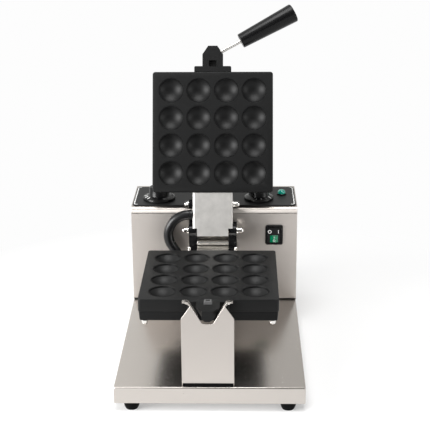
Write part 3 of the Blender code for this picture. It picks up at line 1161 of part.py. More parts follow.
def build_hinge(rotor):
    """The bracket on the shaft, its two ears, the lid's pin and the shaft itself."""
    sheet = BRACKET_SHEET
    level = -BRACKET_DROP - sheet / 2
    front = LOWER_PLATE_REAR_Y + SEAT_GAP + sheet / 2
    rear = UPRIGHT_FRONT_Y + sheet / 2
    path = rounded_path([(front, -BRACKET_FLANGE_TOP), (front, level), (rear, level),
                         (rear, CONDUIT_WING_RISE)], BRACKET_BEND_RADIUS + sheet / 2, 3)
    bracket = part("hinge_bracket", strip("hinge_bracket", path, -BRACKET_HALF_WIDTH,
                                          BRACKET_HALF_WIDTH), "brushed_steel", rotor)
    solidify(bracket, sheet, 0.0)
    behind = (UPRIGHT_FRONT_Y - CUT_OVERRUN, UPRIGHT_FRONT_Y + sheet + CUT_OVERRUN)
    above = CONDUIT_WING_RISE + CUT_OVERRUN
    beyond = BRACKET_HALF_WIDTH + CUT_OVERRUN
    trims = {
        "upright_trim_right": ((UPRIGHT_HALF_WIDTH, -BRACKET_DROP), (beyond, above)),
        "upright_trim_left": ((-beyond, -BRACKET_DROP), (-UPRIGHT_HALF_WIDTH, above)),
        "upright_trim_top": ((-CONDUIT_WING_EDGE, UPRIGHT_RISE), (beyond, above)),
    }
    for name, (low, high) in trims.items():
        boolean(bracket, cutter(name, block(name, (low[0], behind[0], low[1]),
                                            (high[0], behind[1], high[1])), rotor))

    hole = PIN_RADIUS + PIN_HOLE_PLAY
    outline = [(PIN_Y + y, PIN_HEIGHT + z) for y, z in ear_outline()]
    for name, low in (("left", -EAR_OUTER), ("right", EAR_INNER)):
        label = "hinge_ear_" + name
        ear = part(label, slab(label, outline, low, low + EAR_OUTER - EAR_INNER, "YZ"),
                   "nonstick_black", rotor)
        boolean(ear, pin_cutter(label + "_pin_hole", hole, beyond, rotor, (PIN_Y, PIN_HEIGHT)))
    tie_z = -BRACKET_DROP + SEAT_GAP + TIE_BAR_RADIUS
    tie = EAR_INNER - SEAT_GAP
    turned("hinge_tie_bar", [(0, tie), (TIE_BAR_RADIUS, tie), (TIE_BAR_RADIUS, -tie), (0, -tie)],
           "bright_steel", rotor, (0, PIN_Y, tie_z), (0, pi / 2, 0), SMALL_TURNED_STEPS)
    turned("hinge_pin", bolt_profile(2 * (EAR_OUTER + SEAT_GAP), NUT_LENGTH, NUT_LENGTH),
           "bright_steel", rotor, (0, PIN_Y, PIN_HEIGHT), (0, pi / 2, 0), SMALL_TURNED_STEPS)

    shaft_start = UPRIGHT_FRONT_Y + sheet + SEAT_GAP
    shaft_end = UPRIGHT_FRONT_Y + SHAFT_REACH
    turned("rotary_shaft", [(0, shaft_end - shaft_start), (SHAFT_RADIUS, shaft_end - shaft_start),
                            (SHAFT_RADIUS, 0), (0, 0)], "bright_steel", rotor,
           (0, shaft_start, 0), (-pi / 2, 0, 0))
    bore = SHAFT_RADIUS + SEAT_GAP
    turned("shaft_collar", [(bore, COLLAR_LENGTH), (COLLAR_RADIUS, COLLAR_LENGTH), (COLLAR_RADIUS, 0),
                            (bore, 0)], "brushed_steel", rotor,
           (0, shaft_end - COLLAR_LENGTH, 0), (-pi / 2, 0, 0), INNER_TURNED_STEPS, closed=True)


def conduit_points():
    """From the upper gland round the loop, then forward to the gland in the lower casing."""
    start_x = -CONDUIT_WING_EDGE - CONDUIT_UPPER_GLAND_LENGTH - 2 * SEAT_GAP
    centre = Vector((start_x - CONDUIT_LEAD_IN, CONDUIT_PLANE_Y, CONDUIT_LOOP_RISE))
    points = [Vector((start_x, CONDUIT_PLANE_Y, CONDUIT_LOOP_RISE + CONDUIT_LOOP_RADIUS))]
    for index in range(CONDUIT_LOOP_POINTS + 1):
        angle = pi / 2 + CONDUIT_LOOP_SWEEP * index / CONDUIT_LOOP_POINTS
        points.append(centre + CONDUIT_LOOP_RADIUS * Vector((cos(angle), 0, sin(angle))))
    leave = points[-1]
    ahead = (points[-1] - points[-2]).normalized()
    end_y = LOWER_PLATE_REAR_Y - LOWER_CASING_INSET + CONDUIT_LOWER_GLAND_LENGTH + 2 * SEAT_GAP
    arrive = Vector((CONDUIT_END_X, end_y, lower_casing_level()))
    pull_out = leave + ahead * CONDUIT_RUN_PULL
    pull_in = arrive + Vector((0, CONDUIT_RUN_PULL, 0))
    for index in range(1, CONDUIT_RUN_POINTS + 1):
        share = index / CONDUIT_RUN_POINTS
        rest = 1 - share
        points.append(rest ** 3 * leave + 3 * rest ** 2 * share * pull_out
                      + 3 * rest * share ** 2 * pull_in + share ** 3 * arrive)
    return points


def build_conduit(rotor):
    tube("lead_conduit", conduit_points(), CONDUIT_RADIUS, "rubber_black", rotor)
    level = CONDUIT_GLAND_RISE
    length = CONDUIT_UPPER_GLAND_LENGTH
    turned("conduit_gland_upper", [
        (0, length), (CONDUIT_GLAND_RADIUS, length), (CONDUIT_GLAND_RADIUS, 0), (0, 0)],
        "gloss_black", rotor, (-CONDUIT_WING_EDGE - SEAT_GAP, CONDUIT_PLANE_Y, level),
        (0, -pi / 2, 0), INNER_TURNED_STEPS)
    neck = CONDUIT_GLAND_NECK_RADIUS
    length = CONDUIT_LOWER_GLAND_LENGTH
    turned("conduit_gland_lower", [
        (0, length), (CONDUIT_GLAND_RADIUS, length), (CONDUIT_GLAND_RADIUS, length / 3),
        (CONDUIT_GLAND_TAPER_RADIUS, 2 * SEAT_GAP), (neck, 2 * SEAT_GAP), (neck, -CASING_WALL - 2 * SEAT_GAP),
        (0, -CASING_WALL - 2 * SEAT_GAP)], "gloss_black", rotor,
        (CONDUIT_END_X, LOWER_PLATE_REAR_Y - LOWER_CASING_INSET, lower_casing_level()), (-pi / 2, 0, 0),
        INNER_TURNED_STEPS)


clear_scene()
PARTS = new_collection("walnut_cake_maker")
CUTTERS = new_collection("cutters")
build_base()
build_cradle()
build_box()
build_controls()
build_bearings()
mould_flip_axis = frame("mould_flip_axis", None, (AXIS_X, 0, AXIS_Z))
lid_hinge_axis = frame("lid_hinge_axis", mould_flip_axis, (0, PIN_Y, PIN_HEIGHT), (-LID_OPEN_ANGLE, 0, 0))
build_lower(mould_flip_axis)
build_hinge(mould_flip_axis)
build_conduit(mould_flip_axis)
build_upper(lid_hinge_axis)
build_arm(lid_hinge_axis)
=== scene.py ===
"""Looks of the rotary walnut cake maker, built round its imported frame. Metres, +Z up."""

import json
from math import asin, cos, pi, radians, sin

import bmesh
import bpy
from mathutils import Matrix, Vector


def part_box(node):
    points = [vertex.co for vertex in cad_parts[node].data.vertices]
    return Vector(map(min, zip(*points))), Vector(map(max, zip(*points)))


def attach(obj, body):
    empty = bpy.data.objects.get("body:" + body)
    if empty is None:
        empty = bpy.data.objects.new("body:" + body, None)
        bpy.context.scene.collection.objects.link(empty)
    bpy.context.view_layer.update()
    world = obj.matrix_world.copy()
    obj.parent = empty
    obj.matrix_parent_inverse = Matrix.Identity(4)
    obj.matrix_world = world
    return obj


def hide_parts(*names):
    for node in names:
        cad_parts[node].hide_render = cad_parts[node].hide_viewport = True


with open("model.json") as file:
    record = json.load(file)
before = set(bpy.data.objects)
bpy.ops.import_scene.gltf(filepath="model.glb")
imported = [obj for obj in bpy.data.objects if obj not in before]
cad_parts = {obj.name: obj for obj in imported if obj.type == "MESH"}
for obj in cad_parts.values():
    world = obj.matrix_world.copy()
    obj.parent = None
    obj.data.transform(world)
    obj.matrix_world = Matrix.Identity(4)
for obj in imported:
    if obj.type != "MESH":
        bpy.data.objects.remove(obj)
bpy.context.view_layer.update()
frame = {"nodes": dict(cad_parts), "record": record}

# Camera, at the photograph's viewing angle
IMAGE_PIXELS = 430
FOCAL_PIXELS = 1123.8
SENSOR_WIDTH = 36.0
CAMERA_PLACE = (0.0476, -1.6838, 0.7938)
CAMERA_PITCH = radians(18.66)
CAMERA_YAW = radians(1.48)
CAMERA_ROLL = radians(-0.44)

# Shared sizes of the looks
THIN = 0.00005
SMOOTH_ANGLE = radians(30.0)
FLAT_ANGLE = radians(3.0)
SAME_FACE_ANGLE = radians(1.0)
WELD = 0.00001
FINE_STEPS = 64
PIN_TO_PLATE = 0.0630

# Rounded edges of the solids that keep their CAD shape
HAIR_EDGE = 0.0002
FINE_EDGE = 0.0003
SHEET_EDGE = 0.0004
CRADLE_EDGE = 0.0005
ROCKER_EDGE = 0.0006
HOUSING_EDGE = 0.0007
CAST_EDGE = 0.0008
TRAY_EDGE = 0.0009


def make_camera():
    data = bpy.data.cameras.new("camera")
    data.sensor_width = SENSOR_WIDTH
    data.lens = FOCAL_PIXELS * SENSOR_WIDTH / IMAGE_PIXELS
    camera = bpy.data.objects.new("camera", data)
    turn = (Matrix.Rotation(CAMERA_YAW, 4, "Z") @ Matrix.Rotation(pi / 2 - CAMERA_PITCH, 4, "X")
            @ Matrix.Rotation(CAMERA_ROLL, 4, "Z"))
    camera.matrix_world = Matrix.Translation(CAMERA_PLACE) @ turn
    bpy.context.scene.collection.objects.link(camera)
    bpy.context.scene.camera = camera


# Materials
# A mix node has sockets for each kind of value: these are the ones for colours
MIX_FACTOR = 0
MIX_FIRST = 6
MIX_SECOND = 7
MIX_RESULT = 2


class Nodes:
    """Short ways to add nodes to a node tree."""

    def __init__(self, tree):
        self.tree = tree

    def node(self, kind, **values):
        made = self.tree.nodes.new(kind)
        for name, value in values.items():
            if name in made.inputs:
                made.inputs[name].default_value = value
            else:
                setattr(made, name, value)
        return made

    def link(self, out, into):
        self.tree.links.new(out, into)

    def spread(self, value, low, high, start=0.3, end=0.7):
        """A number that goes from low to high while the value goes from start to end."""
        made = self.node("ShaderNodeMapRange")
        for name, number in (("From Min", start), ("From Max", end), ("To Min", low), ("To Max", high)):
            made.inputs[name].default_value = number
        self.link(value, made.inputs["Value"])
        return made.outputs["Result"]

    def combine(self, operation, first, second):
        """Two numbers taken together by a math node."""
        made = self.node("ShaderNodeMath", operation=operation)
        self.link(first, made.inputs[0])
        self.link(second, made.inputs[1])
        return made.outputs["Value"]

    def mixed(self, share, first, second):
        """One shader over another, by a share."""
        made = self.node("ShaderNodeMixShader")
        self.link(share, made.inputs["Fac"])
        self.link(first, made.inputs[1])
        self.link(second, made.inputs[2])
        return made.outputs["Shader"]


class Look(Nodes):
    """A material round one Principled shader."""

    def __init__(self, name):
        self.material = bpy.data.materials.new(name)
        self.material.use_nodes = True
        super().__init__(self.material.node_tree)
        self.shader = self.tree.nodes["Principled BSDF"]

    def set(self, name, value):
        self.shader.inputs[name].default_value = value

    def place(self):
        return self.node("ShaderNodeTexCoord").outputs["Object"]

    def noise(self, scale, detail=3.0, roughness=0.5):
        made = self.node("ShaderNodeTexNoise", Scale=scale, Detail=detail, Roughness=roughness)
        self.link(self.place(), made.inputs["Vector"])
        return made.outputs["Fac"]

    def colour(self, value, first, second):
        """Base colour between two colours."""
        made = self.node("ShaderNodeMix", data_type="RGBA")
        made.inputs[MIX_FIRST].default_value = (*first, 1)
        made.inputs[MIX_SECOND].default_value = (*second, 1)
        self.link(value, made.inputs[MIX_FACTOR])
        self.link(made.outputs[MIX_RESULT], self.shader.inputs["Base Color"])

    def clouded(self, value, colour, share):
        """Base colour that wanders between a colour and a share of it."""
        self.colour(self.spread(value, 0, 1), tuple(share * part for part in colour), colour)

    def rough(self, value, low, high):
        self.link(self.spread(value, low, high), self.shader.inputs["Roughness"])

    def bump(self, height, distance):
        made = self.node("ShaderNodeBump", Distance=distance)
        self.link(height, made.inputs["Height"])
        self.link(made.outputs["Normal"], self.shader.inputs["Normal"])


# Direction of the grain: across the front, and along a side that faces left or right
BRUSHED_ALONG = (1, 0.05, 0)
# How far the roughness of ground sheet wanders
GRAIN = 0.004


def satin(name, colour, roughness, stretch):
    """Fine-ground sheet steel: its reflections are drawn out across the grain."""
    look = Look(name)
    look.set("Metallic", 1.0)
    look.set("Anisotropic", stretch)
    across = look.node("ShaderNodeCombineXYZ")
    for axis, value in zip("XYZ", BRUSHED_ALONG):
        across.inputs[axis].default_value = value
    look.link(across.outputs["Vector"], look.shader.inputs["Tangent"])
    look.clouded(look.noise(scale=7.0), colour, share=0.97)
    look.rough(look.noise(scale=260.0, detail=4.0, roughness=0.6), roughness - GRAIN, roughness + GRAIN)
    return look.material


def blasted(name, colour, roughness):
    """Bead blasted sheet: an even fine sparkle without direction."""
    look = Look(name)
    look.set("Metallic", 1.0)
    grit = look.noise(scale=1400.0, detail=2.0, roughness=0.7)
    look.clouded(look.noise(scale=60.0, roughness=0.6), colour, share=0.82)
    look.rough(grit, roughness - 0.06, roughness + 0.08)
    look.bump(grit, distance=0.00003)
    return look.material


def polished(name, colour, roughness):
    look = Look(name)
    look.set("Metallic", 1.0)
    look.set("Base Color", (*colour, 1))
    look.rough(look.noise(scale=120.0), 0.6 * roughness, 1.5 * roughness)
    return look.material


def coated(name, colour, roughness, grit=900.0, depth=0.00001, level=0.5):
    """A dark baked coating: fine orange peel, slightly uneven sheen."""
    look = Look(name)
    look.set("Specular IOR Level", level)
    fine = look.noise(scale=grit, detail=2.0, roughness=0.6)
    lighter = tuple(1.2 * part for part in colour)
    look.colour(look.spread(look.noise(scale=18.0), 0, 1), colour, lighter)
    look.rough(fine, roughness - 0.04, roughness + 0.06)
    look.bump(fine, distance=depth)
    return look.material


def moulded(name, colour, roughness, depth=0.000004, level=0.5):
    """Moulded plastic or rubber."""
    look = Look(name)
    look.set("Specular IOR Level", level)
    cloud = look.noise(scale=25.0, detail=2.0)
    lighter = tuple(1.15 * part for part in colour)
    look.colour(look.spread(cloud, 0, 1), colour, lighter)
    look.rough(cloud, 0.85 * roughness, 1.15 * roughness)
    look.bump(look.noise(scale=700.0, detail=2.0), distance=depth)
    return look.material


def ink(name, colour):
    look = Look(name)
    look.set("Roughness", 0.45)
    look.clouded(look.noise(scale=300.0), colour, share=0.85)
    return look.material


def glassy(name, colour, glow, strength):
    """Coloured glass over a lit inside."""
    look = Look(name)
    look.set("Roughness", 0.06)
    look.set("Transmission Weight", 0.25)
    look.set("Coat Weight", 0.6)
    look.set("Coat Roughness", 0.03)
    look.set("Emission Color", (*glow, 1))
    look.set("Emission Strength", strength)
    look.clouded(look.noise(scale=260.0, detail=2.0), colour, share=0.35)
    return look.material


LOOKS = {
    # One satin stainless steel in four tones set to how light falls on each part: darker on the deck's
    # sheet (painted shade), lighter on the box's upright faces, the cradle and the hood (painted light)
    "sheet": satin("satin_stainless_sheet", (0.54, 0.505, 0.474), roughness=0.27, stretch=0.45),
    "upright": satin("satin_stainless_upright", (0.64, 0.596, 0.56), roughness=0.42, stretch=0.2),
    "cradle": satin("satin_stainless_cradle", (0.56, 0.522, 0.49), roughness=0.44, stretch=0.2),
    "hood": satin("satin_stainless_hood", (0.60, 0.56, 0.525), roughness=0.44, stretch=0.85),
    "frosted": blasted("frosted_stainless", (0.60, 0.585, 0.565), roughness=0.50),
    "bright": polished("bright_steel", (0.80, 0.78, 0.75), roughness=0.12),
    "spring": polished("spring_steel", (0.50, 0.47, 0.44), roughness=0.30),
    "mould": coated("non_stick_coating", (0.003, 0.0031, 0.0032), roughness=0.46, level=0.24),
    "casing": coated("black_baked_coating", (0.004, 0.0041, 0.0043), roughness=0.42, level=0.15),
    # The key's top in a light grey over the dark coating: a painted highlight
    "key": coated("key_coating_painted_highlight", (0.11, 0.11, 0.11), roughness=0.45, level=0.3),
    "panel": coated("black_panel_coating", (0.013, 0.013, 0.0135), roughness=0.50, grit=1500.0,
                    depth=0.000006, level=0.20),
    "gloss": moulded("glossy_black_plastic", (0.003, 0.003, 0.0033), roughness=0.26, level=0.22),
    "satin_black": moulded("satin_black_plastic", (0.006, 0.006, 0.0065), roughness=0.34, level=0.3),
    "rubber": moulded("black_rubber", (0.002, 0.002, 0.0022), roughness=0.50, depth=0.00001, level=0.06),
    "conduit": moulded("conduit_rubber", (0.005, 0.005, 0.0055), roughness=0.30, level=0.35),
    "white_ink": ink("white_print", (0.86, 0.86, 0.85)),
    "grey_ink": ink("grey_print", (0.20, 0.20, 0.20)),
    "pilot": glassy("green_pilot_lens", (0.00, 0.34, 0.26), glow=(0.0, 0.30, 0.22), strength=0.35),
    "window": glassy("green_switch_window", (0.00, 0.20, 0.09), glow=(0.0, 0.16, 0.07), strength=0.25),
    "brass": polished("plain_brass", (0.72, 0.50, 0.22), roughness=0.28),
    "ceramic": moulded("white_moulding", (0.72, 0.71, 0.68), roughness=0.5),
    "element": polished("element_sheath", (0.24, 0.22, 0.21), roughness=0.5),
}

# Pieces


def add(name, mesh, look, body, nodes=(), matrix=None, edge=0.0, steps=3, smooth=SMOOTH_ANGLE):
    """A piece of the looks on a CAD body, which may stand for CAD nodes."""
    piece = bpy.data.objects.new(name, mesh)
    bpy.context.scene.collection.objects.link(piece)
    if matrix is not None:
        piece.matrix_world = matrix
    mesh.materials.clear()
    mesh.materials.append(LOOKS[look])
    if edge:
        rounding = piece.modifiers.new("Bevel", "BEVEL")
        rounding.width = edge
        rounding.segments = steps
        rounding.limit_method = "ANGLE"
        rounding.angle_limit = SMOOTH_ANGLE
        rounding.harden_normals = True
    mesh.shade_smooth()
    mesh.set_sharp_from_angle(angle=smooth)
    bpy.context.view_layer.update()
    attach(piece, body)
    if nodes:
        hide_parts(*nodes)
    return piece


def from_frame(node, look, edge, steps=3, subdivide=0, swell=0.0, smooth=SMOOTH_ANGLE):
    """A CAD solid welded into clean faces, with rounded edges, in place of its node."""
    source = frame["nodes"][node]
    shape = bmesh.new()
    shape.from_mesh(source.data)
    shape.transform(source.matrix_world)
    bmesh.ops.remove_doubles(shape, verts=shape.verts, dist=WELD)
    bmesh.ops.dissolve_limit(shape, angle_limit=SAME_FACE_ANGLE, verts=shape.verts, edges=shape.edges)
    mesh = bpy.data.meshes.new(node + "_skin")
    shape.to_mesh(mesh)
    shape.free()
    piece = add(node + "_skin", mesh, look, BODY_OF[node], (node,), edge=edge, steps=steps,
                smooth=smooth)
    if swell:
        wider = piece.modifiers.new("Displace", "DISPLACE")
        wider.strength = swell
        wider.mid_level = 0.0
    if subdivide:
        finer = piece.modifiers.new("Subdivision", "SUBSURF")
        finer.levels = subdivide
        finer.render_levels = subdivide
    return piece


def mesh_of(shape, name):
    bmesh.ops.recalc_face_normals(shape, faces=shape.faces)
    mesh = bpy.data.meshes.new(name)
    shape.to_mesh(mesh)
    shape.free()
    return mesh


def lathe_shape(points, steps=FINE_STEPS):
    """A turned closed shape: (radius, height) points from top to bottom down the outer side."""
    shape = bmesh.new()
    line = [shape.verts.new((radius, 0, height)) for radius, height in points]
    edges = [shape.edges.new(pair) for pair in zip(line, line[1:])]
    bmesh.ops.spin(shape, geom=line + edges, cent=(0, 0, 0), axis=(0, 0, 1), angle=2 * pi,
                   steps=steps, use_merge=True)
    bmesh.ops.remove_doubles(shape, verts=shape.verts, dist=WELD)
    return shape


def lathe(name, points, look, body, nodes=(), matrix=None, steps=FINE_STEPS):
    return add(name, mesh_of(lathe_shape(points, steps), name), look, body, nodes, matrix)


def fillet(centre, radius, start, end, count=4):
    """Arc points round a centre in a plane."""
    return [(centre[0] + radius * cos(start + (end - start) * i / count),
             centre[1] + radius * sin(start + (end - start) * i / count)) for i in range(count + 1)]


def rounded_rectangle(half_x, half_y, radius, count=5):
    points = []
    for corner, (x, y) in enumerate(((1, 1), (-1, 1), (-1, -1), (1, -1))):
        start = corner * pi / 2
        points += fillet((x * (half_x - radius), y * (half_y - radius)), radius, start,
                         start + pi / 2, count)
    return points


def slab_shape(outline, low, high):
    shape = bmesh.new()
    face = shape.faces.new([shape.verts.new((x, y, low)) for x, y in outline])
    drawn = bmesh.ops.extrude_face_region(shape, geom=[face])
    bmesh.ops.translate(shape, vec=(0, 0, high - low),
                        verts=[item for item in drawn["geom"] if isinstance(item, bmesh.types.BMVert)])
    bmesh.ops.recalc_face_normals(shape, faces=shape.faces)
    return shape


def slab(name, outline, low, high, look, body, nodes=(), matrix=None, edge=0.0):
    return add(name, mesh_of(slab_shape(outline, low, high), name), look, body, nodes, matrix, edge)


def words(name, text, size, look, body, matrix):
    """Generic marks, as thin raised letters."""
    curve = bpy.data.curves.new(name, "FONT")
    curve.body = text
    curve.size = size
    curve.extrude = THIN
    curve.align_x = "CENTER"
    curve.align_y = "CENTER"
    writer = bpy.data.objects.new(name + "_writer", curve)
    bpy.context.scene.collection.objects.link(writer)
    evaluated = writer.evaluated_get(bpy.context.evaluated_depsgraph_get())
    mesh = bpy.data.meshes.new_from_object(evaluated)
    bpy.data.objects.remove(writer, do_unlink=True)
    return add(name, mesh, look, body, (), matrix)


BODY_OF = {node: body for body, nodes in frame["record"]["behaviour"]["bodies"].items()
           for node in nodes}
JOINTS = {joint["name"]: joint for joint in frame["record"]["behaviour"]["joints"]}
AXIS = Vector(JOINTS["mould_flip"]["pos_m"])
PIN = Vector(JOINTS["lid_hinge"]["pos_m"])
LID_OPEN = radians(JOINTS["lid_hinge"]["range_deg"][1])
PLATE_REAR = PIN.y - PIN_TO_PLATE
LOWER_HALF = Matrix.Translation((AXIS.x, PLATE_REAR, AXIS.z))
LID = Matrix.Translation(PIN) @ Matrix.Rotation(-LID_OPEN, 4, "X")
UPPER_HALF = (LID @ Matrix.Translation((0, PLATE_REAR - PIN.y, AXIS.z - PIN.z))
              @ Matrix.Rotation(pi, 4, "Y"))


def box_in(matrix, node):
    """The two corners of a CAD node's box in a frame of its own."""
    source = frame["nodes"][node]
    turn = matrix.inverted() @ source.matrix_world
    points = [turn @ corner.co for corner in source.data.vertices]
    ranges = list(zip(*points))
    return Vector([min(values) for values in ranges]), Vector([max(values) for values in ranges])


# The locating key on the lower nose, with its slot
KEY_DISTANCE = 0.0140
KEY_HALF_WIDTH = 0.0059
KEY_HALF_LENGTH = 0.0048
KEY_HEIGHT = 0.0043
KEY_TAPER = 0.0012
KEY_SKIN = 0.0003
SLOT_HALF_WIDTH = 0.0030
SLOT_HALF_LENGTH = 0.0020

# Mould halves: cups, rims and edges
CUPS_A_SIDE = 4
CUP_PITCH = 0.0459
CUPS_MIDDLE = 0.1000
CUP_RADIUS = 0.0194
GROOVE_WIDTH = 0.0007
GROOVE_DEPTH = 0.0014
CUP_DEPTH = 0.0110
LIP_DEPTH = 0.0024
LIP_DRAFT = 0.0002
LIP_FILLET = 0.0004
RIM_RADIUS = 0.0213
RIM_DEPTH = 0.0005
RIM_FILLET = 0.0007
RIM_SLOPE = 0.8
CUP_RINGS = 14
CUP_STEPS = 48
PLATE_CORNER = 0.0044
PLATE_EDGE = 0.0011
PLATE_EDGE_STEPS = 3
NUT_SIDE_INSET = 0.0084
NUT_END_INSET = 0.0066
NUT_RADIUS = 0.0050
NUT_LENGTH = 0.0078

# Every dome nut: its hexagon's share of the length, its dome's share of the radius
HEXAGON_SHARE = 0.42
DOME_SHARE = 0.92
DOME_SEAT_SHARE = 0.8
DOME_ANGLES = (0.35, 0.7, 1.05, 1.35)
HEXAGON_EDGE = 0.0004
NUT_STEPS = 32


def cup_profile():
    """Outer side of a cup cutter, from above the plate down to the bottom of the cup."""
    points = [(0, RIM_FILLET), (RIM_RADIUS, RIM_FILLET), (RIM_RADIUS, 0),
              (RIM_RADIUS - RIM_DEPTH / 2, -RIM_SLOPE * RIM_DEPTH), (RIM_RADIUS - RIM_FILLET, -RIM_DEPTH),
              (CUP_RADIUS + GROOVE_WIDTH, -RIM_DEPTH), (CUP_RADIUS + GROOVE_WIDTH, -GROOVE_DEPTH),
              (CUP_RADIUS, -GROOVE_DEPTH), (CUP_RADIUS, -RIM_DEPTH),
              (CUP_RADIUS - LIP_DRAFT, -LIP_DEPTH)]
    edge = CUP_RADIUS - LIP_DRAFT - LIP_FILLET
    level = -LIP_DEPTH - LIP_FILLET
    high = CUP_DEPTH + level
    sphere = (edge ** 2 + high ** 2) / (2 * high)
    middle = sphere - CUP_DEPTH
    start = asin(edge / sphere)
    for index in range(CUP_RINGS + 1):
        tilt = start * (1 - index / CUP_RINGS)
        points.append((sphere * sin(tilt), middle - sphere * cos(tilt)))
    return points


def mould_plate(prefix, half, body):
    low, high = box_in(half, prefix + "_mould_plate")
    middle = (low + high) / 2
    outline = rounded_rectangle(high.x - middle.x, high.y - middle.y, PLATE_CORNER)
    outline = [(x + middle.x, y + middle.y) for x, y in outline]
    shape = slab_shape(outline, low.z, high.z)
    rims = [edge for edge in shape.edges if abs(edge.verts[0].co.z - edge.verts[1].co.z) < WELD]
    bmesh.ops.bevel(shape, geom=rims, offset=PLATE_EDGE, segments=PLATE_EDGE_STEPS, profile=0.5,
                    affect="EDGES")
    block = bpy.data.objects.new("block", mesh_of(shape, prefix + "_plate"))
    cups = bmesh.new()
    edge = CUP_PITCH * (CUPS_A_SIDE - 1) / 2
    for column in range(CUPS_A_SIDE):
        for row in range(CUPS_A_SIDE):
            one = mesh_of(lathe_shape(cup_profile(), CUP_STEPS), "cup")
            one.transform(Matrix.Translation((column * CUP_PITCH - edge,
                                              row * CUP_PITCH - edge - CUPS_MIDDLE, high.z)))
            cups.from_mesh(one)
    cutter_mesh = bpy.data.meshes.new("cups")
    cups.to_mesh(cutter_mesh)
    cups.free()
    cutter = bpy.data.objects.new("cups", cutter_mesh)
    for item in (block, cutter):
        bpy.context.scene.collection.objects.link(item)
    cut = block.modifiers.new("Boolean", "BOOLEAN")
    cut.object = cutter
    cut.operation = "DIFFERENCE"
    cut.solver = "EXACT"
    evaluated = block.evaluated_get(bpy.context.evaluated_depsgraph_get())
    mesh = bpy.data.meshes.new_from_object(evaluated)
    for item in (block, cutter):
        bpy.data.objects.remove(item, do_unlink=True)
    return add(prefix + "_plate_with_cups", mesh, "mould", body, (prefix + "_mould_plate",), half)


def dome_nut(name, matrix, radius, length, look, body):
    """A hexagon with a dome on it, along +Z from its seat."""
    base = HEXAGON_SHARE * length
    dome = DOME_SHARE * radius
    points = [(0, length)]
    points += [(dome * sin(angle), base + (length - base) * cos(angle)) for angle in DOME_ANGLES]
    points += [(dome, base), (dome, DOME_SEAT_SHARE * base), (0, DOME_SEAT_SHARE * base)]
    lathe(name + "_dome", points, look, body, (), matrix, NUT_STEPS)
    hexagon = [(radius * cos(pi / 3 * i), radius * sin(pi / 3 * i)) for i in range(6)]
    slab(name + "_hexagon", hexagon, 0, base, look, body, (), matrix, edge=HEXAGON_EDGE)


def build_key():
    """A light grey cap on the tapered key, thinner than the pocket's play, whose grey is a painted
    highlight on the key's top, and the dark slot in its top, a flat patch of painted shade for the slot's
    recess.
    """
    top = box_in(LOWER_HALF, "lower_nose")[1].z
    middle = box_in(LOWER_HALF, "lower_mould_plate")[0].y - KEY_DISTANCE
    points = []
    for level, taper in ((top - KEY_HEIGHT, 0.0), (top + KEY_SKIN, KEY_TAPER)):
        for x, y in ((-1, -1), (1, -1), (1, 1), (-1, 1)):
            points.append((x * (KEY_HALF_WIDTH + KEY_SKIN - taper),
                           middle + y * (KEY_HALF_LENGTH + KEY_SKIN - taper), level))
    faces = [(0, 3, 2, 1), (4, 5, 6, 7)]
    faces += [(i, (i + 1) % 4, (i + 1) % 4 + 4, i + 4) for i in range(4)]
    mesh = bpy.data.meshes.new("nose_key_cap")
    mesh.from_pydata(points, [], faces)
    add("nose_key_cap", mesh, "key", "rotor", (), LOWER_HALF, edge=KEY_SKIN, smooth=FLAT_ANGLE)
    # The slot as a flat dark patch on the cap: painted shade of its recess
    outline = [(x * SLOT_HALF_WIDTH, middle + y * SLOT_HALF_LENGTH)
               for x, y in ((1, -1), (1, 1), (-1, 1), (-1, -1))]
    slab("nose_key_slot", outline, top, top + KEY_SKIN + THIN, "casing", "rotor", (), LOWER_HALF)


def build_moulds():
    for prefix, half, body in (("lower", LOWER_HALF, "rotor"), ("upper", UPPER_HALF, "lid")):
        mould_plate(prefix, half, body)
        from_frame(prefix + "_nose", "mould", edge=CAST_EDGE)
        from_frame(prefix + "_casing", "casing", edge=FINE_EDGE, steps=2)
        low, high = box_in(half, prefix + "_casing")
        for column, x in (("left", low.x + NUT_SIDE_INSET), ("right", high.x - NUT_SIDE_INSET)):
            rows = [("front", low.y + NUT_END_INSET)]
            if prefix == "lower":
                rows.append(("rear", high.y - NUT_END_INSET))
            for row, y in rows:
                seat = half @ Matrix.Translation((x, y, low.z)) @ Matrix.Rotation(pi, 4, "X")
                name = "_".join((prefix, "casing_nut", row, column))
                dome_nut(name, seat, NUT_RADIUS, NUT_LENGTH, "bright", body)


# Base and control box: black strips as painted shade where the box and the cradle meet the deck, feet
BOX_SHADOW_LINE_TALL = 0.0013
CRADLE_SHADOW_TALL = 0.0052
CRADLE_SHADOW_INSET = 0.0010
SHADOW_STRIP_DEPTH = 0.0004
FOOT_EDGE = 0.0008
# Shares of the foot's top radius and of its height, down its side
FOOT_SIDE = ((0.97, 0.7), (0.86, 0.30), (0.75, 0.08), (0.70, 0))
FOOT_RECESS_RADII = (0.34, 0.30)
FOOT_RECESS_DEPTH = 0.0012


def painted_shadow_strip(name, left, right, front, low, height):
    """A flat black strip on a sheet's front, down on the deck: painted shade where the sheet meets the
    deck.
    """
    outline = [(left, low), (right, low), (right, low + height), (left, low + height)]
    matrix = Matrix.Translation((0, front, 0)) @ Matrix.Rotation(pi / 2, 4, "X")
    slab(name, outline, 0, SHADOW_STRIP_DEPTH, "rubber", "machine", (), matrix)


def build_foot(node):
    low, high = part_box(node)
    middle = (low + high) / 2
    height = high.z - low.z
    top = (high.x - low.x) / 2
    outer, inner = FOOT_RECESS_RADII
    profile = [(0, height), (top - FOOT_EDGE, height), (top, height - FOOT_EDGE)]
    profile += [(top * across, height * up) for across, up in FOOT_SIDE]
    profile += [(top * outer, 0), (top * inner, FOOT_RECESS_DEPTH), (0, FOOT_RECESS_DEPTH)]
    lathe(node + "_moulded", profile, "rubber", "machine", (node,),
          Matrix.Translation((middle.x, middle.y, 0)))


